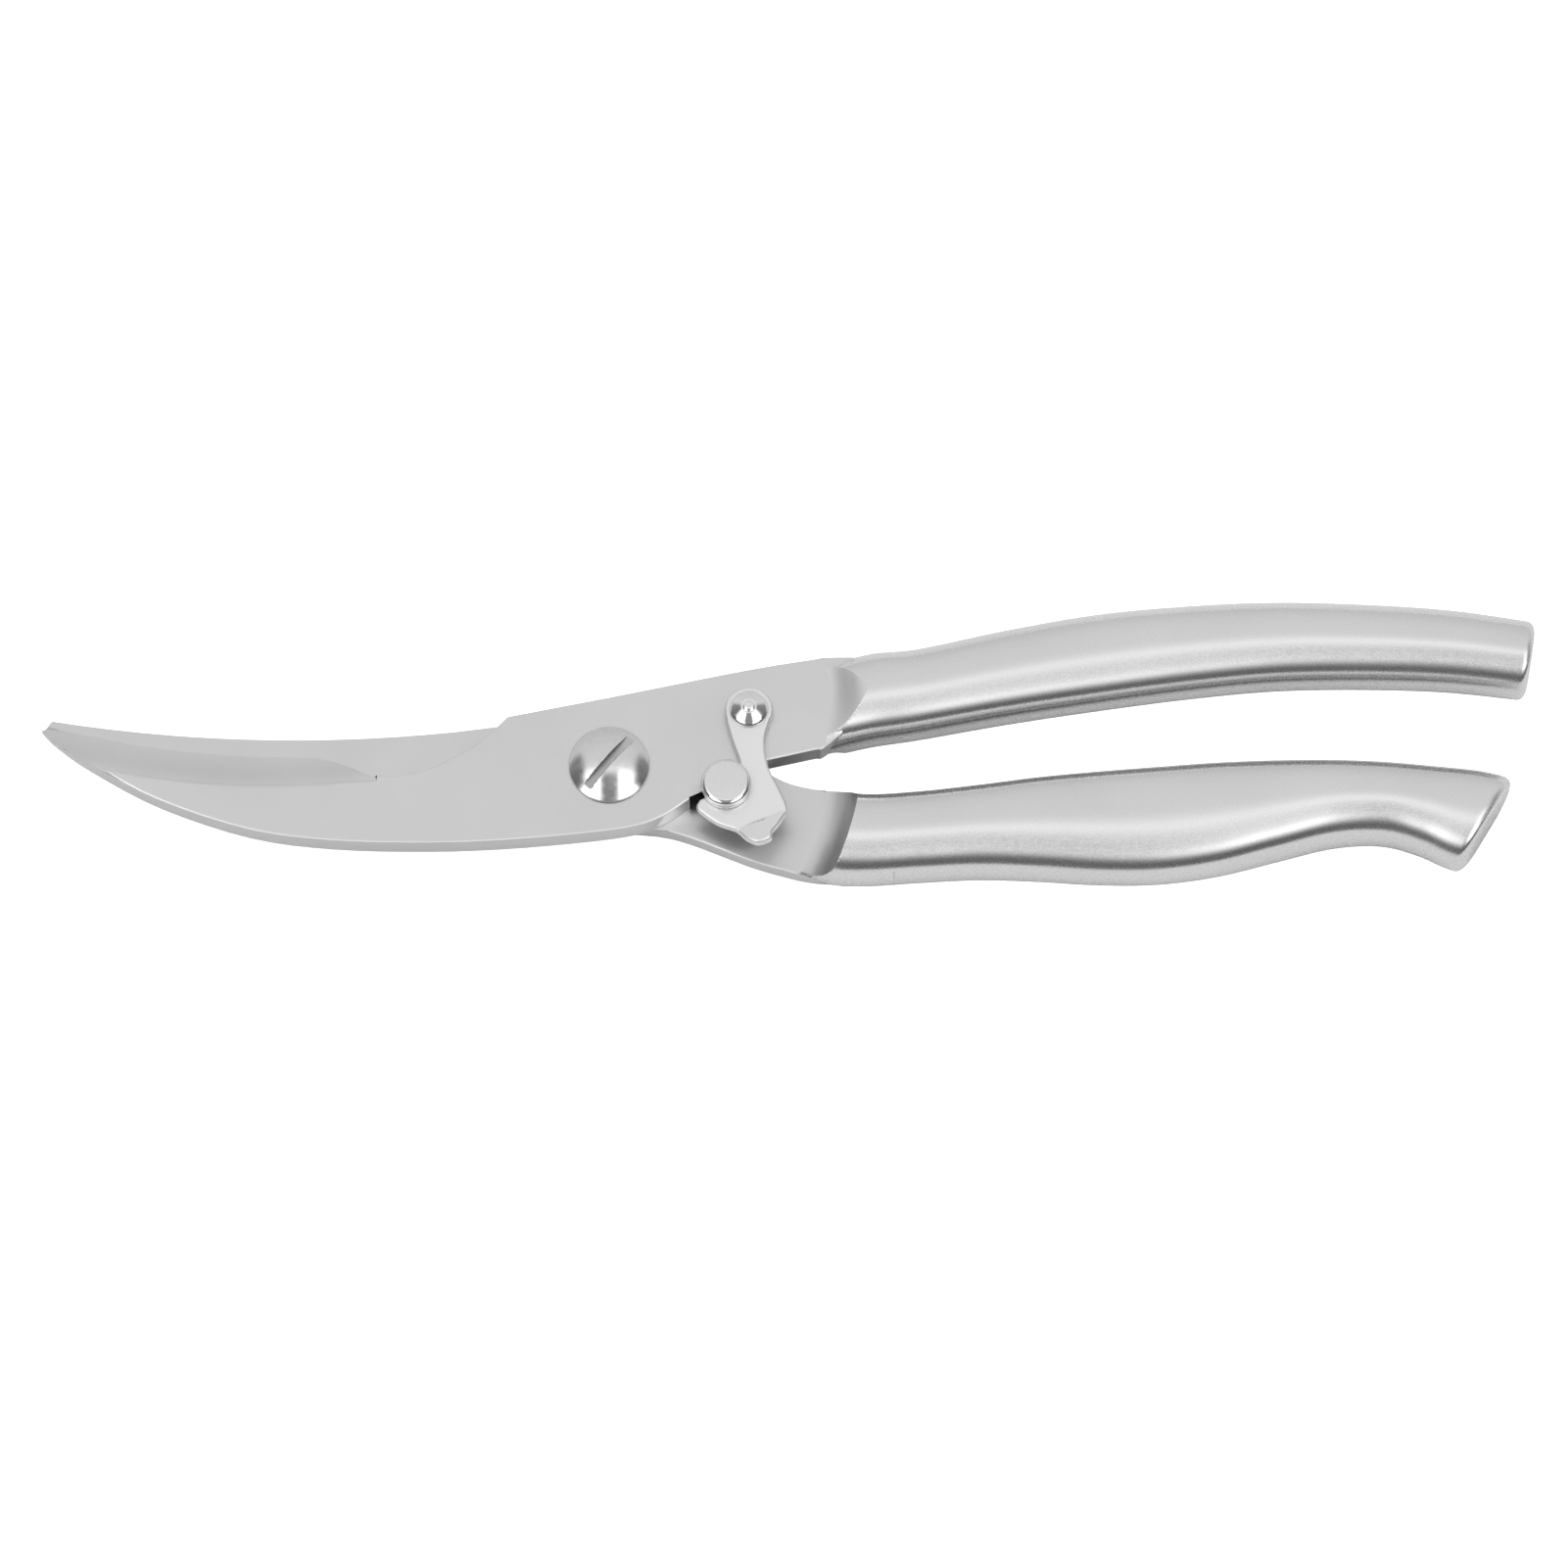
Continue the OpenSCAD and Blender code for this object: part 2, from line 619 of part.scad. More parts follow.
// The opening spring: a helix bent round the pivot axis in its channel.
module opening_spring() {
    coil = (spring_dia - wire_dia) / 2;
    room = asin((wire_dia / 2 + channel_clear / 2) / channel_radius);
    a = channel_start + room;
    b = stop_turn - asin(stop_dia / 2 / channel_radius) - room;
    z = channel_floor + channel_depth / 2;
    count = spring_turns * 8;
    color([0.55, 0.55, 0.58])
        loft([for (i = [0:count])
            let (turn = a + (b - a) * i / count, roll = 45 * i)
            [for (k = [0:5])
                let (out = coil + wire_dia / 2 * cos(60 * k), lean = wire_dia / 2 * sin(60 * k),
                    p = turned([channel_radius + out * cos(roll), lean], turn))
                [p.x, p.y, z + out * sin(roll)]]]);
}
module stop_pin() {
    color([0.65, 0.65, 0.67])
        rotate(stop_turn)
            translate([channel_radius, 0, channel_floor + channel_clear])
                cylinder(d = stop_dia, h = front_z + stop_seat - channel_floor - channel_clear);
}

front_blade();
back_blade();
upper_handle_front_shell();
upper_handle_back_shell();
lower_handle_front_shell();
lower_handle_back_shell();
upper_handle_end_cap();
lower_handle_end_cap();
pivot_screw();
pivot_spring_washer();
pivot_nut();
lock_latch();
latch_rivet();
latch_washer();
lock_pin();
opening_spring();
stop_pin();
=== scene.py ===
"""Poultry shears: the looks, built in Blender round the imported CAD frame."""
import json
import math

import bmesh
import bpy
import numpy as np
from mathutils import Matrix, Vector
from mathutils.bvhtree import BVHTree

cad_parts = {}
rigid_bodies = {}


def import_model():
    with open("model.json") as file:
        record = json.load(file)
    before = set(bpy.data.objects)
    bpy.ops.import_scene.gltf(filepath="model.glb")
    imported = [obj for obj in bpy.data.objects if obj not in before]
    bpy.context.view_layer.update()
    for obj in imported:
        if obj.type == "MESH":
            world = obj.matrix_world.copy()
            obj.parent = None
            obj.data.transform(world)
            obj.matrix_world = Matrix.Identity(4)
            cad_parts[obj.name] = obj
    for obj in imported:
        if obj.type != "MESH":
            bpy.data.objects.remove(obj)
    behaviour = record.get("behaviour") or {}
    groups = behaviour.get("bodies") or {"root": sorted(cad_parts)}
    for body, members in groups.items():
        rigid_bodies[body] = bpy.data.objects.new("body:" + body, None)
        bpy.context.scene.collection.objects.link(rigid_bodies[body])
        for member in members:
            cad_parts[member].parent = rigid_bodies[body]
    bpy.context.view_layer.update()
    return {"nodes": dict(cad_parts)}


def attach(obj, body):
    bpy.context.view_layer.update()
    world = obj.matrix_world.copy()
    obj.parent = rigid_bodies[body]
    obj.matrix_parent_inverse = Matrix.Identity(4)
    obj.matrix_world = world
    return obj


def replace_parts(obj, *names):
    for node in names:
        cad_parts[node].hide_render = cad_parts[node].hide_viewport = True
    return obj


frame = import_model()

MM = 0.001
nodes = frame["nodes"]
scene = bpy.context.scene


# ---------------------------------------------------------------- photograph
# The view of the photograph: a long lens looks along +Y and down on the shears,
# which lie on a white table. The points are places in the photograph, in its
# own frame scaled to a long side of 1568.
POINTS = {
    "left_x": 44.1,
    "right_x": 1536.2,
    "top_y": 602.3,
    "bottom_y": 885.4,
    "front_blade_tip": (44.0, 733.2),
    "heel_corner": (509.5, 717.2),
    "notch_floor": (395.7, 776.2),
    "belly_low": (455.0, 852.0),
    "screw_dome": (610.6, 765.7),
    "slot_upper_end": (632.2, 738.0),
    "slot_lower_end": (587.6, 787.9),
    "lock_pin_head": (726.7, 781.6),
    "latch_rivet": (749.0, 707.7),
    "latch_tab_corner": (759.8, 845.4),
    "latch_hook_tip": (699.0, 805.5),
    "crease_scuff": (757.1, 821.2),
    "upper_shoulder": (868.9, 706.0),
    "lower_shoulder": (850.1, 827.6),
    "lower_handle_narrow": (1361.4, 846.8),
    "lower_end_corner": (1505.3, 786.5),
}
W = H = 1568
L = max(W, H)


def look_along(azimuth, elevation):
    """The camera's turn: azimuth 0 looks along +Y, elevation is above the table."""
    tip = math.radians(90 - elevation)
    return Matrix.Rotation(math.radians(-azimuth), 3, "Z") @ Matrix.Rotation(tip, 3, "X")


view_azimuth = 0.0
view_elevation = 69.5
view_distance = 1.5
aim = Vector((29.3, 0.7, 0)) * MM
seen_width = 264.6 * MM

camera_data = bpy.data.cameras.new("camera")
camera_data.sensor_fit = "AUTO"
camera_data.sensor_width = 36.0
camera_data.lens = 36.0 * view_distance / seen_width
camera_data.shift_x = 0.0
camera_data.shift_y = 0.0
camera_data.clip_end = 20.0
camera_data.dof.use_dof = False
camera = bpy.data.objects.new("camera", camera_data)
turn = look_along(view_azimuth, view_elevation)
camera.matrix_world = Matrix.Translation(aim + turn @ Vector((0, 0, view_distance))) @ turn.to_4x4()
scene.collection.objects.link(camera)
scene.camera = camera
scene.view_settings.view_transform = "Standard"


def image_place(p):
    """Where a point in metres shows in the photograph's frame: the reverse of ray()."""
    q = camera.matrix_world.inverted() @ Vector(p)
    f = L * camera_data.lens / camera_data.sensor_width / -q.z
    return (W / 2 - camera_data.shift_x * L + q.x * f, H / 2 + camera_data.shift_y * L - q.y * f)


def ray(x, y):
    """The line from the camera through a place in the photograph, in metres."""
    way = Vector((x - W / 2 + camera_data.shift_x * L, H / 2 - y + camera_data.shift_y * L,
                  -L * camera_data.lens / camera_data.sensor_width))
    return camera.matrix_world.translation, (camera.matrix_world.to_3x3() @ way).normalized()


# ---------------------------------------------------------- table and lights
# A white table under a white tent. The tent has a bright window on each side of
# the camera, a grey strip between them, and dark walls low down and at both ends:
# they draw the lines along the handles and the sectors in the screw and the rivet.
def new_material(name):
    """A node material, its tree and its Principled shader."""
    m = bpy.data.materials.new(name)
    m.use_nodes = True
    return m, m.node_tree, m.node_tree.nodes["Principled BSDF"]


def ramp(tree, stops, source):
    """A colour ramp from a socket: grey levels or colours at positions from 0 to 1."""
    n = tree.nodes.new("ShaderNodeValToRGB")
    marks = n.color_ramp.elements
    while len(marks) > 1:
        marks.remove(marks[-1])
    for i, (at, c) in enumerate(stops):
        mark = marks[0] if i == 0 else marks.new(at)
        mark.position = at
        mark.color = (*((c,) * 3 if isinstance(c, (int, float)) else c), 1)
    tree.links.new(source, n.inputs["Fac"])
    return n.outputs["Color"]


def reckon(tree, operation, *sources):
    """A Math node: each source is a socket or a number."""
    n = tree.nodes.new("ShaderNodeMath")
    n.operation = operation
    for i, s in enumerate(sources):
        if isinstance(s, (int, float)):
            n.inputs[i].default_value = s
        else:
            tree.links.new(s, n.inputs[i])
    return n.outputs[0]


world = bpy.data.worlds.new("tent")
scene.world = world
world.use_nodes = True
tent = world.node_tree
way = tent.nodes.new("ShaderNodeSeparateXYZ")
tent.links.new(tent.nodes.new("ShaderNodeTexCoord").outputs["Generated"], way.inputs[0])
lean = reckon(tent, "ARCTAN2", reckon(tent, "MULTIPLY", way.outputs["Y"], -1.0), way.outputs["Z"])
lean = reckon(tent, "ADD", reckon(tent, "DIVIDE", lean, math.pi), 0.5)


def tent_stops(levels):
    """Half of each tent level, by the angle from overhead toward the camera in degrees."""
    return [(0.5 + a / 180, level / 2) for a, level in levels]


def tent_mix(share, near, far):
    """One tent strip fading into the next, by a share from 0 to 1."""
    n = tent.nodes.new("ShaderNodeMix")
    n.data_type = "RGBA"
    tent.links.new(share, n.inputs[0])
    tent.links.new(near, n.inputs[6])
    tent.links.new(far, n.inputs[7])
    return n.outputs[2]


strip = ramp(tent, tent_stops([(-90, 0.62), (-40, 0.77), (-20, 0.79), (-13, 0.86), (-8, 1.05),
                               (-3, 0.95), (4, 0.45), (10, 0.30), (48, 0.28), (64, 0.14),
                               (88, 0.10)]), lean)
windows = ramp(tent, tent_stops([(-90, 0.62), (-40, 0.77), (-20, 0.80), (-12, 0.95), (-4, 1.5),
                                 (2, 1.9), (45, 1.9), (56, 0.7), (66, 0.12), (88, 0.10)]), lean)
walls = ramp(tent, tent_stops([(-90, 0.60), (-52, 0.70), (-38, 0.28), (-10, 0.20),
                               (88, 0.10)]), lean)
out = reckon(tent, "ABSOLUTE", way.outputs["X"])
glow = tent_mix(ramp(tent, [(0.19, 0.0), (0.27, 1.0)], out), strip, windows)
glow = tent_mix(ramp(tent, [(0.58, 0.0), (0.68, 1.0)], out), glow, walls)
light = tent.nodes["Background"]
light.inputs["Strength"].default_value = 2.0
tent.links.new(glow, light.inputs["Color"])
backdrop = tent.nodes.new("ShaderNodeBackground")
backdrop.inputs["Color"].default_value = (1, 1, 1, 1)
pick = tent.nodes.new("ShaderNodeMixShader")
tent.links.new(tent.nodes.new("ShaderNodeLightPath").outputs["Is Camera Ray"], pick.inputs["Fac"])
tent.links.new(light.outputs[0], pick.inputs[1])
tent.links.new(backdrop.outputs[0], pick.inputs[2])
tent.links.new(pick.outputs[0], tent.nodes["World Output"].inputs["Surface"])

far = 3.0
table_grey = 0.86
table_shine = 0.03
nook_reach = 0.06
table_mesh = bpy.data.meshes.new("table")
table_mesh.from_pydata([(-far, -far, 0), (far, -far, 0), (far, far, 0), (-far, far, 0)], [],
                       [(0, 1, 2, 3)])
table = bpy.data.objects.new("table", table_mesh)
scene.collection.objects.link(table)
m, t, shader = new_material("white_table")
shader.inputs["Roughness"].default_value = 0.9
shader.inputs["Specular IOR Level"].default_value = 0.0
shine = t.nodes.new("ShaderNodeEmission")
rays = t.nodes.new("ShaderNodeLightPath").outputs
# Painted shade: steel that looks into the nook under the shears sees the table's colour darkened
# there by an ambient occlusion mask, on glossy rays only.
nook = t.nodes.new("ShaderNodeAmbientOcclusion")
nook.samples = 6
nook.inputs["Distance"].default_value = nook_reach
shade = ramp(t, [(0.36, 0.35), (0.54, 1.0)], nook.outputs["AO"])
shade = reckon(t, "SUBTRACT", 1.0, reckon(t, "MULTIPLY", rays["Is Glossy Ray"],
                                          reckon(t, "SUBTRACT", 1.0, shade)))
grey = t.nodes.new("ShaderNodeMix")
grey.data_type = "RGBA"
grey.inputs[6].default_value = (0, 0, 0, 1)
grey.inputs[7].default_value = (table_grey, table_grey, table_grey, 1)
t.links.new(shade, grey.inputs[0])
t.links.new(grey.outputs[2], shader.inputs["Base Color"])
t.links.new(reckon(t, "ADD", rays["Is Camera Ray"], reckon(t, "MULTIPLY", rays["Is Glossy Ray"],
                                                           table_shine)),
            shine.inputs["Strength"])
both = t.nodes.new("ShaderNodeAddShader")
t.links.new(shader.outputs[0], both.inputs[0])
t.links.new(shine.outputs[0], both.inputs[1])
t.links.new(both.outputs[0], t.nodes["Material Output"].inputs["Surface"])
table_mesh.materials.append(m)


def lamp(name, at, size, power):
    """A soft lamp of that size in metres, turned toward the pivot."""
    d = bpy.data.lights.new(name, "AREA")
    d.shape = "RECTANGLE"
    d.size, d.size_y = size
    d.energy = power
    o = bpy.data.objects.new(name, d)
    down = (-Vector(at)).to_track_quat("-Z", "Y")
    o.matrix_world = Matrix.Translation(at) @ down.to_matrix().to_4x4()
    scene.collection.objects.link(o)


lamp("left_lamp", (-0.75, -0.55, 0.75), (0.35, 0.35), 1.0)
lamp("right_lamp", (0.8, -0.5, 0.8), (0.3, 0.3), 0.8)


# -------------------------------------------------------------- front blade
# The upper half's plate: hardened stainless steel, blanked and ground flat, and
# hollow ground to its toothed edge. The bolster is milled down to the plate.
def whole_skin(node):
    """A CAD node's triangles joined into one closed skin, its flat faces whole."""
    skin = bmesh.new()
    skin.from_mesh(nodes[node].data)
    bmesh.ops.remove_doubles(skin, verts=skin.verts, dist=0.002 * MM)
    bmesh.ops.dissolve_limit(skin, angle_limit=math.radians(0.3), verts=skin.verts,
                             edges=skin.edges)
    return skin


def as_mesh(skin, name, material):
    mesh = bpy.data.meshes.new(name)
    skin.to_mesh(mesh)
    skin.free()
    mesh.materials.append(material)
    return mesh


def plate_part(node, x, material, highs, lows):
    """The node's plate as far as x in mm, then on into the bolster.

    Each further rim is the first one stretched between a high point and a low point.
    """
    skin = whole_skin(node)
    bmesh.ops.bisect_plane(skin, geom=skin.verts[:] + skin.edges[:] + skin.faces[:],
                           plane_co=(x * MM, 0, 0), plane_no=(1, 0, 0), clear_outer=True)
    rim = [e for e in skin.edges if e.is_boundary]
    for high, low in zip(highs, lows):
        made = bmesh.ops.extrude_edge_only(skin, edges=rim)["geom"]
        corners = [v for v in made if isinstance(v, bmesh.types.BMVert)]
        rim = [e for e in made if isinstance(e, bmesh.types.BMEdge)
               and e.verts[0] in corners and e.verts[1] in corners]
        across = np.array([v.co.y for v in corners])
        share = (across - across.min()) / (across.max() - across.min())
        for v, k in zip(corners, share):
            v.co.x, v.co.y = (low + (high - low) * k) * MM
    bmesh.ops.holes_fill(skin, edges=rim)
    bmesh.ops.recalc_face_normals(skin, faces=skin.faces)
    return as_mesh(skin, node, material)


def carved(mesh, tools, operation="DIFFERENCE"):
    """The mesh with each tool mesh taken away or added, by exact booleans.

    A cut face takes the material of the tool that cut it.
    """
    part = bpy.data.objects.new("part", mesh)
    scene.collection.objects.link(part)
    others = [bpy.data.objects.new("tool", tool) for tool in tools]
    for other in others:
        scene.collection.objects.link(other)
        b = part.modifiers.new("carve", "BOOLEAN")
        b.operation = operation
        b.solver = "EXACT"
        b.material_mode = "TRANSFER"
        b.object = other
    made = bpy.data.meshes.new_from_object(
        part.evaluated_get(bpy.context.evaluated_depsgraph_get()))
    for o in [part] + others:
        bpy.data.objects.remove(o)
    return made


def finished(name, mesh, body, sharp=32):
    """A smooth-shaded piece from a mesh. Edges past `sharp` degrees stay sharp."""
    mesh.name = name
    mesh.shade_smooth()
    mesh.set_sharp_from_angle(angle=math.radians(sharp))
    piece = bpy.data.objects.new(name, mesh)
    scene.collection.objects.link(piece)
    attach(piece, body)
    return piece


def break_edges(mesh, where, least=50, shortest=0.35):
    """Weights the outer corners past `least` degrees for a bevel, where(x, y, z) in mm allows."""
    skin = bmesh.new()
    skin.from_mesh(mesh)
    weight = skin.edges.layers.float.new("bevel_weight_edge")
    for e in skin.edges:
        middle = (e.verts[0].co + e.verts[1].co) / 2 / MM
        if (e.is_manifold and e.is_convex and e.calc_length() > shortest * MM
                and e.calc_face_angle() > math.radians(least) and where(*middle)):
            e[weight] = 1
    skin.to_mesh(mesh)
    skin.free()


def bevelled(piece, width, segments=3):
    """Rounds the weighted edges, and keeps flat faces flat in the shading."""
    b = piece.modifiers.new("broken_edges", "BEVEL")
    b.limit_method = "WEIGHT"
    b.width = width * MM
    b.segments = segments
    b.use_clamp_overlap = False
    flat = piece.modifiers.new("flat_faces", "WEIGHTED_NORMAL")
    flat.keep_sharp = True


def ground_steel(name, tone, rough, lines, depth, blotch=0.02, spread=0.05):
    """Ground steel: lines per metre along X, Y, Z set the grain; depth in mm is its height.

    The tone drifts a little in soft blotches, and the roughness follows the grain.
    """
    m, t, shader = new_material(name)
    shader.inputs["Metallic"].default_value = 1.0
    coord = t.nodes.new("ShaderNodeTexCoord").outputs["Object"]
    scale = t.nodes.new("ShaderNodeMapping")
    scale.inputs["Scale"].default_value = lines
    t.links.new(coord, scale.inputs["Vector"])
    grain = t.nodes.new("ShaderNodeTexNoise")
    grain.inputs["Scale"].default_value = 1.0
    grain.inputs["Detail"].default_value = 3.0
    t.links.new(scale.outputs[0], grain.inputs["Vector"])
    clouds = t.nodes.new("ShaderNodeTexNoise")
    clouds.inputs["Scale"].default_value = 70.0
    clouds.inputs["Detail"].default_value = 4.0
    t.links.new(coord, clouds.inputs["Vector"])
    t.links.new(ramp(t, [(0.3, tone - blotch), (0.7, tone + blotch)], clouds.outputs["Fac"]),
                shader.inputs["Base Color"])
    t.links.new(ramp(t, [(0.3, rough - spread), (0.7, rough + spread)], grain.outputs["Fac"]),
                shader.inputs["Roughness"])
    bump = t.nodes.new("ShaderNodeBump")
    bump.inputs["Strength"].default_value = 1.0
    bump.inputs["Distance"].default_value = depth * MM
    t.links.new(grain.outputs["Fac"], bump.inputs["Height"])
    t.links.new(bump.outputs[0], shader.inputs["Normal"])
    return m, t, shader


def brushed(t, shader, sheen, way):
    """Stretches the sheen along a direction of the piece, as fine lines across it do."""
    shader.inputs["Anisotropic"].default_value = sheen
    turn = t.nodes.new("ShaderNodeVectorTransform")
    turn.vector_type = "VECTOR"
    turn.convert_from = "OBJECT"
    turn.convert_to = "WORLD"
    turn.inputs[0].default_value = way
    t.links.new(turn.outputs[0], shader.inputs["Tangent"])


def along(plan, t):
    """Catmull-Rom: a smooth curve through the rows of plan, at row numbers t."""
    plan = np.asarray(plan, float)
    i = np.minimum(np.floor(t).astype(int), len(plan) - 2)
    s = (t - i)[:, None]
    a, b, c, d = (plan[np.clip(i + k, 0, len(plan) - 1)] for k in (-1, 0, 1, 2))
    return 0.5 * (2 * b + (c - a) * s + (2 * a - 5 * b + 4 * c - d) * s ** 2
                  + (3 * b - a - 3 * c + d) * s ** 3)


def half_section(width, lean, inset=0.0, lift=0.0, steps=12):
    """Half a handle section for each width: a round side, the crowned face, and back down.

    Side: a round of radius r, up to where it leans as much as the face does. Face: a
    parabola whose rise is tan(lean) face / 4, so that the two meet without a crease.
    """
    width = width[:, None]
    span = width - 2 * inset
    draw = 1 - math.sin(lean)
    room = handle_thick / 2 - 0.02 - lift - math.tan(lean) * span / 4
    r = np.minimum(np.minimum(handle_round - lift, span / 2.05),
                   room / (math.cos(lean) - math.tan(lean) * draw / 2))
    face = span - 2 * r * draw
    rise = math.tan(lean) * face / 4
    a = (math.pi / 2 - lean) * np.linspace(0, 1, steps + 1)
    left = inset + r * (1 - np.cos(a))
    up = handle_thick - lift - rise - r * math.cos(lean) + r * np.sin(a)
    k = np.linspace(-0.5, 0.5, steps + 1)[1:-1]
    across = np.hstack([left, width / 2 + face * k, width - left[:, ::-1]])
    return across, np.hstack([up, handle_thick - lift - rise * (2 * k) ** 2, up[:, ::-1]])


def placed(rows, across, up):
    """Section points on the line between each station's two edges, in metres."""
    a, b = rows[:, :2], rows[:, 2:]
    width = np.linalg.norm(b - a, axis=1)
    flat = a[:, None] + (b - a)[:, None] * (across / width[:, None])[..., None]
    return np.dstack([flat, up[..., None]]) * MM


def widths(rows):
    return np.linalg.norm(rows[:, 2:] - rows[:, :2], axis=1)


def whole_rings(rows, inset=0.0, lift=0.0):
    """Whole handle sections: the crowned half over the flat one."""
    across, up = half_section(widths(rows), face_lean, inset, lift)
    under, down = half_section(widths(rows), 0.0, inset, lift)
    return placed(rows, np.hstack([across, under[:, ::-1]]),
                  np.hstack([up, handle_thick - down[:, ::-1]]))


def ring_skin(rings):
    """A closed tube over rings (n, m, 3), its two ends closed by strips across them."""
    n, m = rings.shape[:2]
    i, j = np.meshgrid(np.arange(n - 1), np.arange(m), indexing="ij")
    side = np.stack([i * m + j, i * m + (j + 1) % m, (i + 1) * m + (j + 1) % m,
                     (i + 1) * m + j], -1).reshape(-1, 4)
    h = np.arange(m // 2 - 1)
    strip = np.stack([h, m - 1 - h, m - 2 - h, h + 1], -1)
    faces = np.vstack([side, strip, strip[:, ::-1] + (n - 1) * m])
    mesh = bpy.data.meshes.new("rings")
    mesh.from_pydata(rings.reshape(-1, 3), [], faces.tolist())
    skin = bmesh.new()
    skin.from_mesh(mesh)
    bmesh.ops.recalc_face_normals(skin, faces=skin.faces)
    bpy.data.meshes.remove(mesh)
    return skin


def wrapped(rings):
    """A closed skin over rings (n, m, 3) in mm, whose ends are poles or the same ring."""
    n, m = rings.shape[:2]
    i, j = np.meshgrid(np.arange(n - 1), np.arange(m), indexing="ij")
    faces = np.stack([i * m + j, i * m + (j + 1) % m, (i + 1) * m + (j + 1) % m,
                      (i + 1) * m + j], -1).reshape(-1, 4)
    mesh = bpy.data.meshes.new("wrapped")
    mesh.from_pydata(rings.reshape(-1, 3) * MM, [], faces.tolist())
    skin = bmesh.new()
    skin.from_mesh(mesh)
    bmesh.ops.remove_doubles(skin, verts=skin.verts, dist=1e-7)
    bmesh.ops.recalc_face_normals(skin, faces=skin.faces)
    bpy.data.meshes.remove(mesh)
    return skin


def turned(profile, at=(0, 0), steps=144):
    """A closed solid of revolution: profile rows of radius and height, about a point in mm.

    x = at.x + r cos a, y = at.y + r sin a, z = height, for a round the whole turn.
    """
    r, z = np.asarray(profile, float).T
    a = np.linspace(0, 2 * math.pi, steps, endpoint=False)
    return wrapped(np.stack([at[0] + r[:, None] * np.cos(a), at[1] + r[:, None] * np.sin(a),
                             z[:, None] + 0 * a], -1))


def cutter(at, floor, radii, heights, edge, beyond, material):
    """A turned milling cutter: flat at the floor's height, then along the curve to its edge.

    Past the edge it goes straight to the height beyond, which is outside the block.
    """
    profile = [(0, beyond), (0, floor)] + list(zip(radii, heights))
    profile += [(edge, beyond), (0, beyond)]
    return as_mesh(turned(profile, at, 720), "cutter", material)


def shoulder_tool(at, radius, width, foot, top, material):
    """What is milled off a bolster: a ring whose profile is a hollow arc, from foot to top.

    Profile: r = radius + R sin a, z = foot + R (1 - cos a), R = (width^2 + rise^2) / (2 rise).
    """
    rise = top - foot
    arc = (width ** 2 + rise ** 2) / (2 * rise)
    a = np.linspace(0, math.asin(width / arc), 25)
    return cutter(at, foot, radius + arc * np.sin(a), foot + arc * (1 - np.cos(a)),
                  radius + width, top + 1, material)


def crest_tool(at, radius, width, foot, top, material):
    """A shoulder with a soft crest: z = foot + (top - foot) s^2 (3 - 2 s) across its width."""
    s = np.linspace(0, 1, 33)
    return cutter(at, foot, radius + width * s, foot + (top - foot) * s ** 2 * (3 - 2 * s),
                  radius + width, top + 1, material)


def foot_tool(radius, width, top, material):
    """What is milled from a bolster's underside: z = top (1 - s^2 (3 - 2 s)) across its width."""
    s = np.linspace(0, 1, 33)
    return cutter((0, 0), top, radius + width * s, top * (1 - s ** 2 * (3 - 2 * s)),
                  radius + width, -1, material)


def station_at(plan, x):
    return float(np.interp(x, plan[:, 0], np.arange(len(plan))))


def bolster(plan, tools):
    """The forged block between plate and handle, milled by its shoulder tools."""
    rows = along(plan, np.linspace(0, station_at(plan, bolster_end), 90))
    return carved(as_mesh(ring_skin(whole_rings(rows)), "bolster", satin_steel), tools)


def chamfered(mesh, top, width, drop, where):
    """A flat chamfer along the plate's top edge on the camera's side, where(x, y) in mm."""
    skin = bmesh.new()
    skin.from_mesh(mesh)
    bmesh.ops.dissolve_degenerate(skin, dist=0.005 * MM, edges=skin.edges)
    picked = []
    for e in skin.edges:
        p = (e.verts[0].co + e.verts[1].co) / 2 / MM
        if len(e.link_faces) != 2 or abs(p.z - top) > 0.01 or not where(p.x, p.y):
            continue
        n = sorted((f.normal for f in e.link_faces), key=lambda v: v.z)
        if n[1].z > 0.99 and abs(n[0].z) < 0.05 and n[0].y < -0.15:
            picked.append(e)
    bmesh.ops.bevel(skin, geom=picked, offset=width * MM, offset_type="OFFSET", segments=1,
                    profile=0.5, affect="EDGES", clamp_overlap=False)
    for v in skin.verts:
        p = v.co / MM
        if abs(p.z - (top - width)) < 0.02 and where(p.x, p.y):
            v.co.z = (top - drop) * MM
    skin.to_mesh(mesh)
    skin.free()


front_z = 6.35
front_top = 10.85
handle_thick = 13.0
handle_round = 5.8
face_lean = math.radians(17)
bolster_end = 48.0
hidden = 0.02
chamfer_width = 0.32
chamfer_drop = 0.05
plate_edge = 0.15
front_plate_end = 34.0
upper_shoulder_at = (18.4, 11.4)
upper_shoulder_radius = 18.4
upper_shoulder_width = 6.7
upper_plan = np.array([
    (36, 19.0, 36, 3.5), (44, 21.16, 44, 5.44), (52, 22.06, 52, 6.74), (67, 25.46, 67, 9.54),
    (82, 28.26, 82, 11.94), (97, 29.76, 97, 14.04), (112, 30.44, 112, 15.54),
    (127, 30.06, 127, 15.84), (142.04, 28.96, 141.46, 15.34), (156.3, 26.77, 154.34, 13.87)])

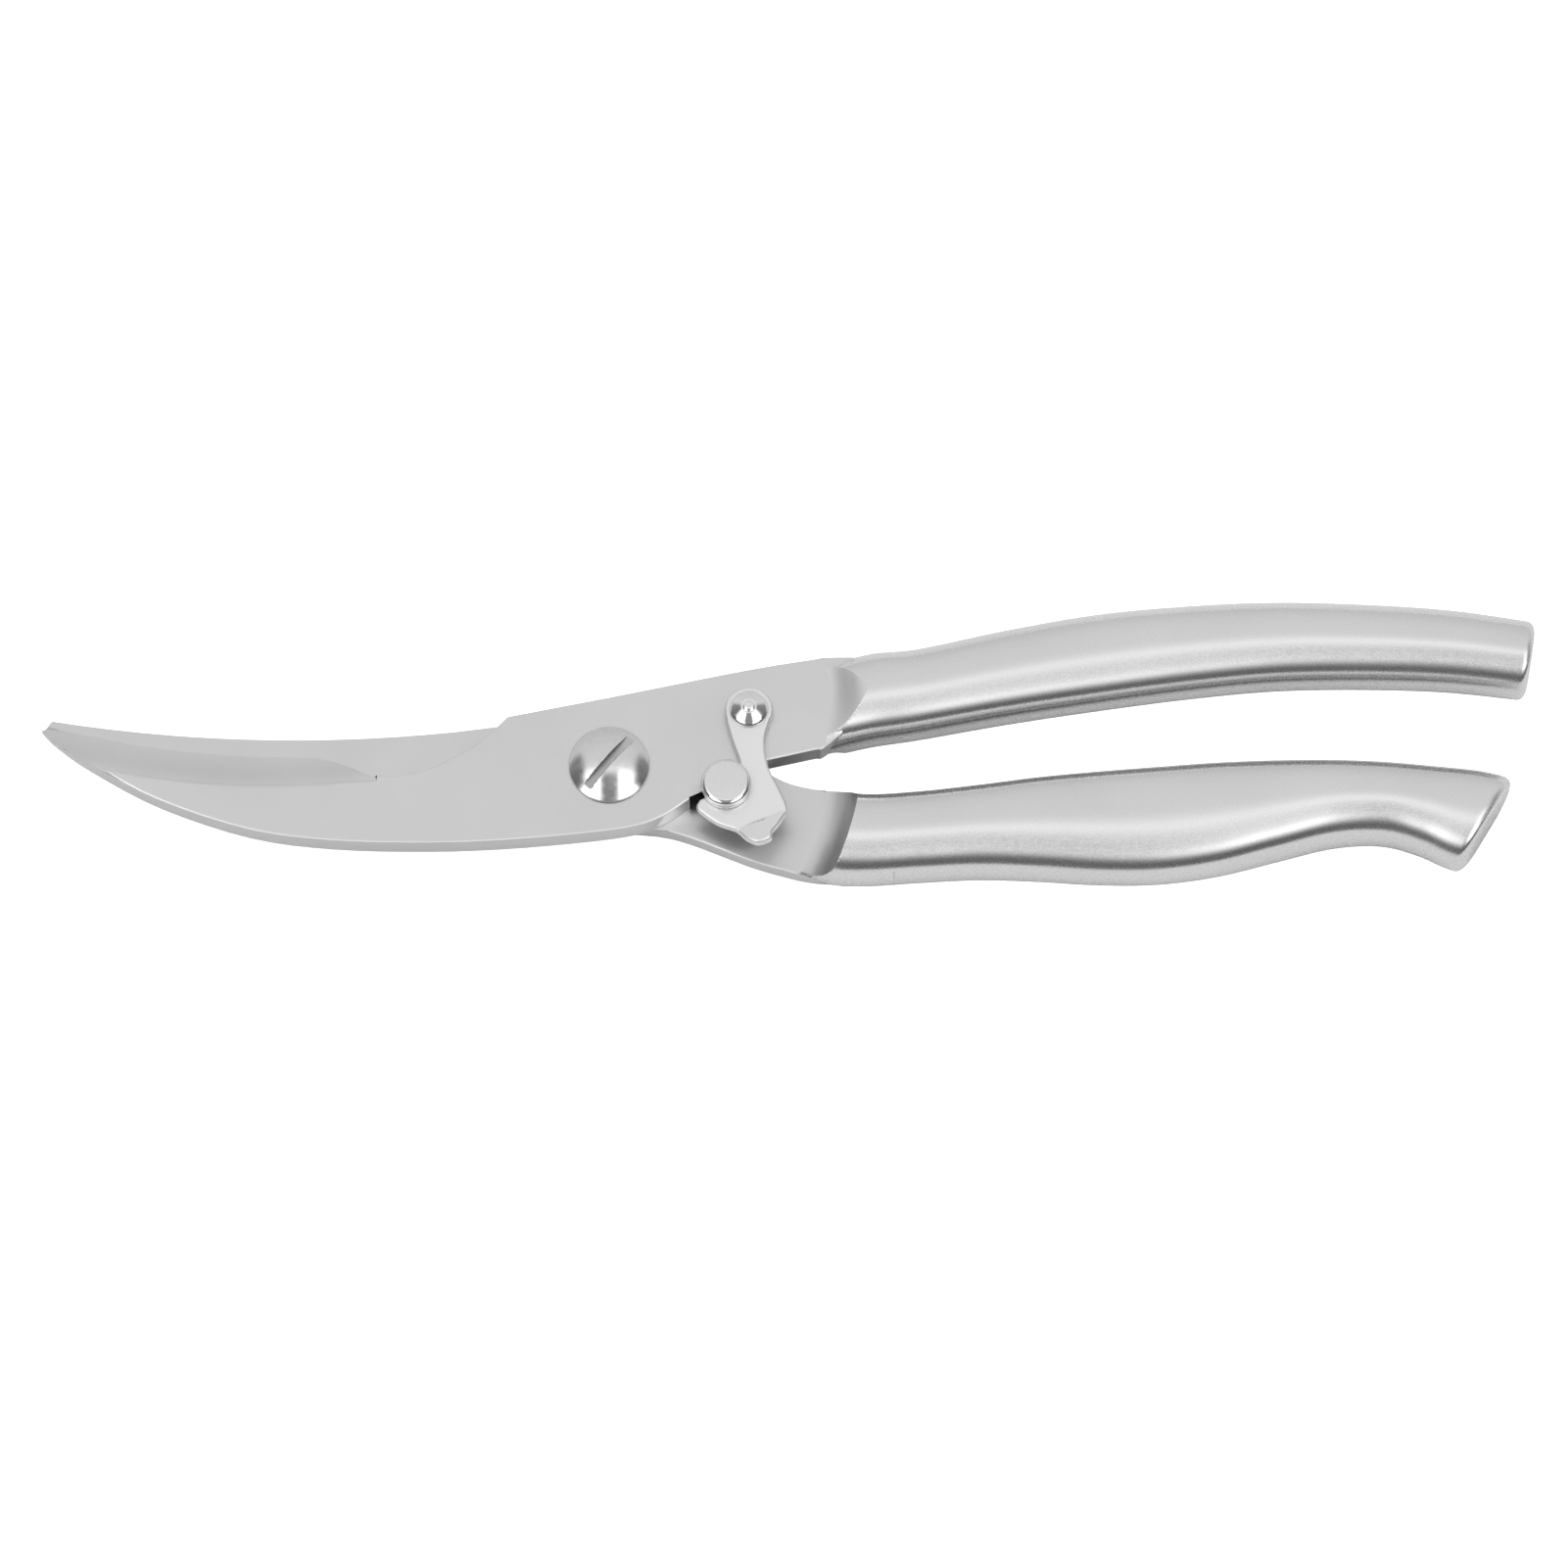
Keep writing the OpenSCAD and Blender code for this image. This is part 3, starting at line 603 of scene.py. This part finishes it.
satin_steel, t, shader = ground_steel("satin_handle_steel", 0.79, 0.27, (1300, 2600, 2600),
                                      0.00008, blotch=0.015, spread=0.02)
brushed(t, shader, 0.77, (1, 0.1, 0.25))
blade_steel, t, shader = ground_steel("ground_blade_steel", 0.75, 0.34, (3000, 240, 3000),
                                      0.00012, spread=0.03)
brushed(t, shader, 0.7, (1, 0, 0.3))
block = bolster(upper_plan, [
    crest_tool(upper_shoulder_at, upper_shoulder_radius, upper_shoulder_width,
               front_top - hidden, handle_thick, blade_steel),
    foot_tool(37.5, 6.5, front_z + hidden, blade_steel)])
inside = np.linspace(1, 3, 13)[1:]
highs = [(22.6, 17), (front_plate_end, 19), (36, 19.32), (41, 19.4), (44, 19.2)]
lows = [(26.4, 0.9), (front_plate_end, 2.64), (36, 3.12), (39.5, 6.2), (44, 10)]
plate = plate_part("front_blade", front_plate_end, blade_steel,
                   along(highs, inside), along(lows, inside))
blade_mesh = carved(plate, [block], "UNION")
chamfered(blade_mesh, front_top, chamfer_width, chamfer_drop,
          lambda x, y: -84 < x < 36 and y < 4)
break_edges(blade_mesh, lambda x, y, z: x < front_plate_end + 1.6
            and (x > -46 or y < 1 or z > 8))
front_blade = finished("front_blade_skin", blade_mesh, "upper_half")
bevelled(front_blade, plate_edge)
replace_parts(front_blade, "front_blade")


# --------------------------------------------------------------- back blade
# The lower half's plate, of the same steel. Its hollow grind is on the far face,
# and this face is given a slightly darker tone than the front one's.
back_z = 2.8
back_top = 6.3
back_plate_end = 31.5
lower_shoulder_radius = 36.0
lower_shoulder_width = 6.0
lower_plan = np.array([
    (31, -2.3, 31, -17.0), (37, -2.95, 37, -19.1), (43, -4.05, 43, -19.44), (52, -3.54, 52, -18.86),
    (62, -2.34, 62, -18.36), (72, -0.94, 72, -18.66), (82, 0.11, 82, -19.26),
    (92, 0.96, 92, -19.16), (102, 1.71, 102, -17.76), (112, 2.06, 112, -15.16),
    (122.03, 2.06, 121.47, -12.76), (130.57, 1.66, 129.43, -12.36), (138.69, 0.94, 135.31, -13.94),
    (146.2, 0.15, 139.67, -15.99), (152.1, -1.25, 142.6, -17.1)])
back_steel, t, shader = ground_steel("ground_back_steel", 0.72, 0.32, (3000, 240, 3000),
                                     0.00012, spread=0.03)
brushed(t, shader, 0.7, (1, 0, 0.3))
block = bolster(lower_plan, [
    shoulder_tool((0, 0), lower_shoulder_radius, lower_shoulder_width, back_top - hidden,
                  handle_thick, back_steel),
    foot_tool(36.5, 4, back_z + hidden, back_steel)])
highs = [(27.7, -0.4), (back_plate_end, -2), (36, -3), (43, -5.1)]
lows = [(29, -17.05), (back_plate_end, -17.7), (36, -18.38), (43, -18.3)]
plate = plate_part("back_blade", back_plate_end, back_steel,
                   along(highs, inside), along(lows, inside))
back_mesh = carved(plate, [block], "UNION")
chamfered(back_mesh, back_top, chamfer_width, chamfer_drop, lambda x, y: 8 < x < 34 and y < -5)
break_edges(back_mesh, lambda x, y, z: -10 < x < back_plate_end - 0.1)
back_blade = finished("back_blade_skin", back_mesh, "lower_half")
bevelled(back_blade, plate_edge)
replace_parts(back_blade, "back_blade")


# ------------------------------------------------------------------ handles
# Each handle is two pressed half shells of stainless sheet and a rounded end cap,
# welded together and to the bolster, then ground flush and satin polished.
shell_wall = 1.2
end_round = 2.4


def end_step(plan):
    """One millimetre along the handle's end, in stations."""
    d = plan[-1] - plan[-2]
    return 2 / np.linalg.norm(d[:2] + d[2:])


def shell_skin(plan, front):
    """Half a handle's sheet: the outer half section, then the inner one back again."""
    stop = len(plan) - 1 - (end_round + 1) * end_step(plan)
    rows = along(plan, np.linspace(station_at(plan, bolster_end), stop, 150))
    seam = np.full((len(rows), 1), handle_thick / 2)
    walls = []
    for inset in (0.0, shell_wall):
        across, up = half_section(widths(rows), face_lean if front else 0.0, inset, inset)
        rim = np.full((len(rows), 1), inset)
        walls.append((np.hstack([rim, across, widths(rows)[:, None] - rim]),
                      np.hstack([seam, up, seam])))
    across = np.hstack([walls[0][0], walls[1][0][:, ::-1]])
    up = np.hstack([walls[0][1], walls[1][1][:, ::-1]])
    return ring_skin(placed(rows, across, up if front else handle_thick - up))


def end_skin(plan):
    """The welded end cap: whole sections that draw in over a quarter circle."""
    step = end_step(plan)
    a = np.linspace(0, math.pi / 2, 14)
    inset = np.concatenate([[0], end_round * (1 - np.cos(a))])
    t = len(plan) - 1 - end_round * step * (1 - np.concatenate([[-1 / end_round], np.sin(a)]))
    rings = [whole_rings(along(plan, np.array([ti])), ins, 0.6 * ins)[0]
             for ti, ins in zip(t, inset)]
    return ring_skin(np.array(rings))


for half, plan in (("upper", upper_plan), ("lower", lower_plan)):
    for side in ("front", "back"):
        node = "%s_handle_%s_shell" % (half, side)
        shell = as_mesh(shell_skin(plan, side == "front"), node, satin_steel)
        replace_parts(finished(node + "_skin", shell, half + "_half", 40), node)
    node = half + "_handle_end_cap"
    cap = as_mesh(end_skin(plan), node, satin_steel)
    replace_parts(finished(node + "_skin", cap, half + "_half", 40), node)


# -------------------------------------------------------------- pivot screw
# A turned screw with a polished dome and a sawn driver slot. It bears in both
# plates on its shoulder, and its thread takes the nut on the far side.
def eased(profile, radius, steps=5):
    """A profile with its inner corners rounded: each gives way to a parabola.

    p(s) = (1-s)^2 a + 2 s (1-s) c + s^2 b, a and b being radius away from the corner c.
    """
    p = np.asarray(profile, float)
    c = p[1:-1]
    to_a, to_b = p[:-2] - c, p[2:] - c
    size_a = np.linalg.norm(to_a, axis=1, keepdims=True)
    size_b = np.linalg.norm(to_b, axis=1, keepdims=True)
    r = np.minimum(np.broadcast_to(np.reshape(radius, (-1, 1)), size_a.shape),
                   0.45 * np.minimum(size_a, size_b))
    a, b = c + to_a / size_a * r, c + to_b / size_b * r
    s = np.linspace(0, 1, steps + 1)[None, :, None]
    bends = (1 - s) ** 2 * a[:, None] + 2 * s * (1 - s) * c[:, None] + s ** 2 * b[:, None]
    return np.vstack([p[:1], bends.reshape(-1, 2), p[-1:]])


def polished_steel(name, tone, rough, pit=0.0005):
    """Polished steel: nearly a mirror, with faint pits and stains in its sheen."""
    m, t, shader = new_material(name)
    shader.inputs["Metallic"].default_value = 1.0
    coord = t.nodes.new("ShaderNodeTexCoord").outputs["Object"]
    pits = t.nodes.new("ShaderNodeTexNoise")
    pits.inputs["Scale"].default_value = 800.0
    pits.inputs["Detail"].default_value = 6.0
    pits.inputs["Roughness"].default_value = 0.7
    t.links.new(coord, pits.inputs["Vector"])
    t.links.new(ramp(t, [(0.35, rough * 0.7), (0.7, rough * 1.5)], pits.outputs["Fac"]),
                shader.inputs["Roughness"])
    t.links.new(ramp(t, [(0.3, tone - 0.04), (0.6, tone + 0.02)], pits.outputs["Fac"]),
                shader.inputs["Base Color"])
    bump = t.nodes.new("ShaderNodeBump")
    bump.inputs["Distance"].default_value = pit * MM
    t.links.new(pits.outputs["Fac"], bump.inputs["Height"])
    t.links.new(bump.outputs[0], shader.inputs["Normal"])
    return m, t, shader


def box_tool(size, middle, turn, side, floor):
    """A box in mm to cut with: its corners are half its size each way, turned about Z.

    Its walls leave the side material, and its lowest face the floor material.
    """
    u, v, w = np.array(np.meshgrid((-1, 1), (-1, 1), (-1, 1), indexing="ij")).reshape(3, 8) / 2
    c, k = math.cos(math.radians(turn)), math.sin(math.radians(turn))
    corners = np.stack([c * u * size[0] - k * v * size[1], k * u * size[0] + c * v * size[1],
                        w * size[2]], -1) + middle
    mesh = bpy.data.meshes.new("box_tool")
    mesh.from_pydata(corners * MM, [], [(0, 1, 3, 2), (4, 6, 7, 5), (0, 4, 5, 1),
                                        (2, 3, 7, 6), (0, 2, 6, 4), (1, 5, 7, 3)])
    mesh.materials.append(side)
    mesh.materials.append(floor)
    mesh.polygons[4].material_index = 1
    return mesh


head_z = 10.9
head_radius = 6.75
head_height = 2.5
head_rim = 0.5
slot_width = 1.4
slot_depth = 1.35
slot_turn = 50
screw_steel = polished_steel("polished_screw_steel", 0.74, 0.16, 0.002)[0]
# The slot's walls are sawn steel painted nearly black, as painted shade in the slot; its floor is
# plain sawn steel.
slot_wall_painted_shade = ground_steel("sawn_slot_wall_painted_shade", 0.12, 0.4, (1500, 1500, 400), 0.003,
                          blotch=0.05)[0]
sawn_floor = ground_steel("sawn_slot_floor", 0.5, 0.35, (900, 900, 400), 0.002,
                          blotch=0.1)[0]
dome = head_height - head_rim
ball = (head_radius ** 2 + dome ** 2) / (2 * dome)
r = np.linspace(head_radius, 0, 60)
dome_rows = np.stack([r, head_z + head_height - ball + np.sqrt(ball ** 2 - r ** 2)], 1)
screw_rows = eased([(0, 0), (2.5, 0), (3, 0.5), (3, 2.8), (4, 2.8), (4, head_z),
                    (head_radius - 0.25, head_z), (head_radius, head_z + 0.25),
                    (head_radius, head_z + head_rim), tuple(dome_rows[5])], 0.1, 4)
screw = as_mesh(turned(np.vstack([screw_rows, dome_rows[6:]]), steps=192), "screw", screw_steel)
screw = carved(screw, [box_tool((2 * head_radius + 2, slot_width, 2 * slot_depth),
                                (0, 0, head_z + head_height), slot_turn,
                                slot_wall_painted_shade, sawn_floor)])
break_edges(screw, lambda x, y, z: z > head_z + head_rim + 0.1, least=40, shortest=0.02)
pivot_screw = finished("pivot_screw_skin", screw, "lower_half")
bevelled(pivot_screw, 0.06, 2)
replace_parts(pivot_screw, "pivot_screw")


# ----------------------------------------------------- nut and spring washer
# Under the back plate a plain steel hexagon nut takes the screw's thread. It
# presses on a conical spring washer, which keeps the blades pushed together.
nut_flats = 11.0
nut_height = 2.2
washer_sheet = 0.36
nut_steel = ground_steel("plain_nut_steel", 0.66, 0.3, (900, 900, 2400), 0.0008,
                         blotch=0.04)[0]
bore = 3.02
turn = np.linspace(0, 2 * math.pi, 360, endpoint=False)
hexagon = nut_flats / 2 / np.cos((turn + math.pi / 6) % (math.pi / 3) - math.pi / 6)
low = np.linspace(0, 0.6, 7)
rows = [(bore + 0.35 + 0 * turn, 0.0)]
rows += [(np.minimum(hexagon, 5.25 + 1.85 * z), z) for z in low]
rows += [(hexagon, nut_height - 0.05), (hexagon - 0.05, nut_height)]
rows += [(bore + d + 0 * turn, z) for d, z in ((0.35, nut_height), (0, nut_height - 0.35),
                                               (0, 0.35), (0.35, 0.0))]
nut = wrapped(np.array([np.stack([r * np.cos(turn), r * np.sin(turn), z + 0 * turn], -1)
                        for r, z in rows]))
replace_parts(finished("pivot_nut_skin", as_mesh(nut, "nut", nut_steel), "lower_half"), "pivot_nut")

inner = 3.2
outer = 5.2
cone = eased([(inner + 0.05, 2.62), (inner, back_z - washer_sheet), (outer, nut_height),
              (outer, nut_height + washer_sheet), (inner, back_z), (inner + 0.05, 2.62)],
             0.08, 3)
washer = as_mesh(turned(cone, steps=128), "washer", nut_steel)
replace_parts(finished("pivot_spring_washer_skin", washer, "lower_half"),
            "pivot_spring_washer")


# -------------------------------------------------------------------- latch
# The thumb latch is stamped from 1.6 mm stainless sheet, its tab bent up along a
# crease, and barrel tumbled, which leaves it matt and pale with soft edges.
latch_steel, latch_tree, latch_shader = ground_steel(
    "tumbled_latch_steel", 0.85, 0.42, (2600, 2600, 2600), 0.001, blotch=0.012, spread=0.06)
latch_mesh = as_mesh(whole_skin("lock_latch"), "latch", latch_steel)
rivet_at = (23.4, 9.3)
break_edges(latch_mesh, lambda x, y, z: math.hypot(x - rivet_at[0], y - rivet_at[1]) > 2.5,
            least=50, shortest=0.02)
lock_latch = finished("lock_latch_skin", latch_mesh, "latch")
bevelled(lock_latch, 0.4, 4)
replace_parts(lock_latch, "lock_latch")


def finished_tree(*pieces):
    """The finished surfaces of the pieces, to shoot rays at, and their vertices."""
    corners, faces, start = [], [], 0
    depsgraph = bpy.context.evaluated_depsgraph_get()
    for piece in pieces:
        mesh = piece.evaluated_get(depsgraph).to_mesh()
        p = np.empty(len(mesh.vertices) * 3, np.float32)
        mesh.vertices.foreach_get("co", p)
        corners.append(p.reshape(-1, 3))
        faces += [[v + start for v in f.vertices] for f in mesh.polygons]
        start += len(mesh.vertices)
        piece.to_mesh_clear()
    corners = np.vstack(corners)
    return BVHTree.FromPolygons(corners.tolist(), faces), corners


def place_on(point, *pieces):
    """Where the photograph's point lies on the pieces: the ray's hit, or what is nearest it."""
    tree, corners = finished_tree(*pieces)
    origin, way = ray(*point)
    hit = tree.ray_cast(origin, way)[0]
    if hit is None:
        off = np.cross(corners - np.array(origin), np.array(way))
        hit = Vector(corners[np.argmin(np.linalg.norm(off, axis=1))].tolist())
    return hit


# Along the crease a short row of scuffs is painted, made darker as painted shade where the sheet
# bends.
crease_spot = place_on(POINTS["crease_scuff"], lock_latch)
crease_spot_turn = 22.4
crease_spot_size = (2.4 * MM, 0.32 * MM, 20 * MM)
where = latch_tree.nodes.new("ShaderNodeMapping")
where.vector_type = "TEXTURE"
where.inputs["Location"].default_value = crease_spot
where.inputs["Rotation"].default_value = (0, 0, math.radians(crease_spot_turn))
where.inputs["Scale"].default_value = crease_spot_size
latch_tree.links.new(latch_tree.nodes.new("ShaderNodeTexCoord").outputs["Object"],
                     where.inputs["Vector"])
size = latch_tree.nodes.new("ShaderNodeVectorMath")
size.operation = "LENGTH"
latch_tree.links.new(where.outputs[0], size.inputs[0])
marks = latch_tree.nodes.new("ShaderNodeTexNoise")
marks.inputs["Scale"].default_value = 3.2
marks.inputs["Detail"].default_value = 2.0
latch_tree.links.new(where.outputs[0], marks.inputs["Vector"])
scuffs_and_crease_shade = reckon(latch_tree, "MULTIPLY", ramp(latch_tree, [(0.3, 1.0), (1.0, 0.0)],
                                             size.outputs["Value"]),
                ramp(latch_tree, [(0.45, 0.0), (0.6, 1.0)], marks.outputs["Fac"]))
scuffed_and_shaded = latch_tree.nodes.new("ShaderNodeMix")
scuffed_and_shaded.data_type = "RGBA"
scuffed_and_shaded.inputs[7].default_value = (0.3, 0.3, 0.3, 1)
latch_tree.links.new(scuffs_and_crease_shade, scuffed_and_shaded.inputs[0])
latch_tree.links.new(latch_shader.inputs["Base Color"].links[0].from_socket, scuffed_and_shaded.inputs[6])
latch_tree.links.new(scuffed_and_shaded.outputs[2], latch_shader.inputs["Base Color"])


# ---------------------------------------------------- latch rivet and washer
# The latch turns on a riveted stud. Its head was closed by a spinning tool, which
# left a polished shallow cone with a small nub in a groove at its middle.
rivet_z = 12.9
rivet_radius = 3.25
rivet_height = 1.7
rivet_steel = polished_steel("polished_rivet_steel", 0.84, 0.08)[0]
cone = [(rivet_radius - 0.1, rivet_z), (rivet_radius, rivet_z + 0.12),
        (rivet_radius, rivet_z + 0.42), (rivet_radius - 0.35, rivet_z + 0.75),
        (1.25, rivet_z + 1.5), (1.02, rivet_z + 1.45), (0.85, rivet_z + 1.6),
        (0.4, rivet_z + rivet_height), (0, rivet_z + rivet_height)]
rivet_rows = eased([(0, front_z), (2.3, front_z), (1.9, front_z + 0.4), (1.9, rivet_z)] + cone,
                   [0.1, 0.1, 0.1, 0.05, 0.1, 0.12, 0.25, 0.15, 0.12, 0.15, 0.3], 5)
rivet = as_mesh(turned(rivet_rows, rivet_at, 128), "rivet", rivet_steel)
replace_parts(finished("latch_rivet_skin", rivet, "upper_half"), "latch_rivet")

ring_sheet = 0.4
inner = 1.97
outer = 3.92
ring = eased([(inner, front_top + ring_sheet / 2), (inner, front_top), (outer, front_top),
              (outer, front_top + ring_sheet), (inner, front_top + ring_sheet),
              (inner, front_top + ring_sheet / 2)], 0.06, 3)
ring = as_mesh(turned(ring, rivet_at, 128), "ring", nut_steel)
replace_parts(finished("latch_washer_skin", ring, "upper_half"), "latch_washer")


# ----------------------------------------------------------------- lock pin
# The stud that the latch hooks is riveted through the back plate. Its head is
# turned, with a flat satin top, a polished round edge and a bead below it.
pin_at = (19.6, -4.4)
pin_z = 12.95
pin_radius = 4.2
pin_height = 2.1
pin_steel = polished_steel("polished_pin_steel", 0.8, 0.09)[0]
satin_top = ground_steel("satin_pin_steel", 0.79, 0.26, (1600, 1600, 1600), 0.0006)[0]
pin_rows = eased([(0, back_z), (2.4, back_z), (2, back_z + 0.4), (2, front_top - 0.3),
                  (1.25, front_top), (1.25, pin_z), (pin_radius - 0.2, pin_z),
                  (pin_radius, pin_z + 0.2), (pin_radius, pin_z + 0.75),
                  (pin_radius - 0.12, pin_z + 0.9), (pin_radius - 0.08, pin_z + 1.1),
                  (pin_radius - 0.1, pin_z + 1.7), (pin_radius - 0.62, pin_z + pin_height),
                  (0, pin_z + pin_height)],
                 [0.1, 0.1, 0.1, 0.1, 0.1, 0.12, 0.12, 0.1, 0.08, 0.08, 0.3, 0.3], 6)
pin = as_mesh(turned(pin_rows, pin_at, 128), "pin", pin_steel)
pin.materials.append(satin_top)
flat = np.array([p.normal.z > 0.999 and p.center.z > (pin_z + pin_height - 0.1) * MM
                 for p in pin.polygons])
pin.polygons.foreach_set("material_index", flat.astype(np.int32))
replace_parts(finished("lock_pin_skin", pin, "lower_half"), "lock_pin")


# ------------------------------------------------ opening spring and stop pin
# A small coil spring lies bent in a channel between the plates and opens the
# blades. It pushes on a stop pin that is pressed into the front plate.
wire = 0.25
coil = 1.0
coils = 9
bend = 7.9
spring_z = 4.85
first, last = np.radians([127.3, 193.7])
spring_steel = polished_steel("drawn_spring_steel", 0.6, 0.22)[0]


def bent_helix(wire, coil, coils, bend, z, first, last, around=12):
    """A wire wound on a ring: ring radius bend + coil cos(roll), height z + coil sin(roll).

    The wire's own round lies across the line's tangent, a wire's radius from it.
    """
    s = np.linspace(0, 1, coils * 32 + 1)
    turn, roll = first + (last - first) * s, 2 * math.pi * coils * s
    ring = np.stack([np.cos(turn), np.sin(turn), 0 * s], -1)
    out = ring * np.cos(roll)[:, None] + [0, 0, 1] * np.sin(roll)[:, None]
    line = ring * bend + out * coil + [0, 0, z]
    way = np.gradient(line, axis=0)
    way /= np.linalg.norm(way, axis=1, keepdims=True)
    side = np.cross(way, out)
    a = np.linspace(0, 2 * math.pi, around, endpoint=False)[None, :, None]
    return (line[:, None] + wire * (np.cos(a) * out[:, None] + np.sin(a) * side[:, None])) * MM


spring = ring_skin(bent_helix(wire, coil, coils, bend, spring_z, first, last))
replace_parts(finished("opening_spring_skin", as_mesh(spring, "spring", spring_steel),
                     "lower_half", 60), "opening_spring")

stop_turn = math.radians(205)
stop_radius = 1.2
stop_low = 3.6
stop_high = 9.35
stop = turned(eased([(0, stop_low), (stop_radius, stop_low), (stop_radius, stop_high),
                     (0, stop_high)], 0.15, 4),
              (bend * math.cos(stop_turn), bend * math.sin(stop_turn)), 64)
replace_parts(finished("stop_pin_skin", as_mesh(stop, "stop", nut_steel), "upper_half"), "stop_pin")


# -------------------------------------------------------------------- points
# Where each thing shows in the photograph's frame, in x and y, found
# from the finished vertices that the camera sees.
pieces = {o.name.replace("_skin", ""): o for o in scene.objects if o.name.endswith("_skin")}
every_tree, every_corner = finished_tree(*pieces.values())
eye = camera.matrix_world.translation


def seen(corners):
    """Those of the corners that nothing hides from the camera, and where they show."""
    keep = []
    for c in corners.tolist():
        c = Vector(c)
        way = (eye - c).normalized()
        keep.append(every_tree.ray_cast(c + way * 2e-5, way)[0] is None)
    shown = corners[np.array(keep, bool)]
    return shown, np.array([image_place(c) for c in shown])


def furthest(piece, toward, point=None, reach=30, pick=None):
    """The place of the piece's seen corner that lies furthest toward a way in the image."""
    corners = finished_tree(piece)[1]
    if pick is not None:
        corners = corners[pick(corners / MM)]
    if point is not None:
        at = np.array([image_place(c) for c in corners])
        corners = corners[np.hypot(*(at - point).T) < reach]
    at = seen(corners)[1]
    return at[np.argmax(at @ np.array(toward))]


def middle(piece, pick=None):
    """The middle of what shows of a piece."""
    corners = finished_tree(piece)[1]
    if pick is not None:
        corners = corners[pick(corners / MM)]
    at = seen(corners)[1]
    return (at.min(0) + at.max(0)) / 2


def level_with(piece, point, pick, axis=1):
    """The place of the seen corner on a line of the piece that is level with the point."""
    at = seen(finished_tree(piece)[1][pick(finished_tree(piece)[1] / MM)])[1]
    return at[np.argmin(np.abs(at[:, axis] - point[axis]))]


def slot_end(way):
    """The middle of the two corners at one end of the screw slot's floor."""
    p = finished_tree(pieces["pivot_screw"])[1] / MM
    a = math.radians(slot_turn)
    run = way * (p[:, 0] * math.cos(a) + p[:, 1] * math.sin(a))
    run[abs(p[:, 2] - (head_z + head_height - slot_depth)) > 0.05] = 0
    p = p[run > run.max() - 0.3]
    return np.mean([image_place(c) for c in (p[np.argmin(p @ (1, -1, 0))] * MM,
                                             p[np.argmax(p @ (1, -1, 0))] * MM)], axis=0)


front, back = pieces["front_blade"], pieces["back_blade"]
notch_x = -36
upper_crest = upper_shoulder_radius + upper_shoulder_width
lower_crest = lower_shoulder_radius + lower_shoulder_width
shown = {
    "front_blade_tip": furthest(front, (-1, 0)),
    "heel_corner": furthest(front, (-0.45, -0.89), POINTS["heel_corner"], 15),
    "notch_floor": furthest(front, (0, -1), None, 0, lambda p: (abs(p[:, 0] - notch_x) < 1)
                            & (p[:, 1] < 0) & (p[:, 2] > front_top - 0.3)),
    "belly_low": np.array([POINTS["belly_low"][0],
                           furthest(front, (0, 1), POINTS["belly_low"], 25)[1]]),
    "screw_dome": middle(pieces["pivot_screw"], lambda p: p[:, 2] > head_z - 0.1),
    "slot_upper_end": slot_end(1),
    "slot_lower_end": slot_end(-1),
    "lock_pin_head": middle(pieces["lock_pin"]),
    "latch_rivet": middle(pieces["latch_rivet"]),
    "latch_tab_corner": furthest(pieces["lock_latch"], (0, 1)),
    "latch_hook_tip": furthest(pieces["lock_latch"], (-1, 0), POINTS["latch_hook_tip"], 20),
    "crease_scuff": np.array(image_place(crease_spot)),
    "upper_shoulder": level_with(front, POINTS["upper_shoulder"], lambda p: abs(
        np.hypot(*(p[:, :2] - upper_shoulder_at).T) - upper_crest) < 0.1),
    "lower_shoulder": level_with(back, POINTS["lower_shoulder"], lambda p: abs(
        np.hypot(*p[:, :2].T) - lower_crest) < 0.1),
    "lower_handle_narrow": np.array([
        POINTS["lower_handle_narrow"][0],
        furthest(pieces["lower_handle_back_shell"], (0, 1), POINTS["lower_handle_narrow"], 6)[1]]),
    "lower_end_corner": furthest(pieces["lower_handle_end_cap"], (1, 0)),
}
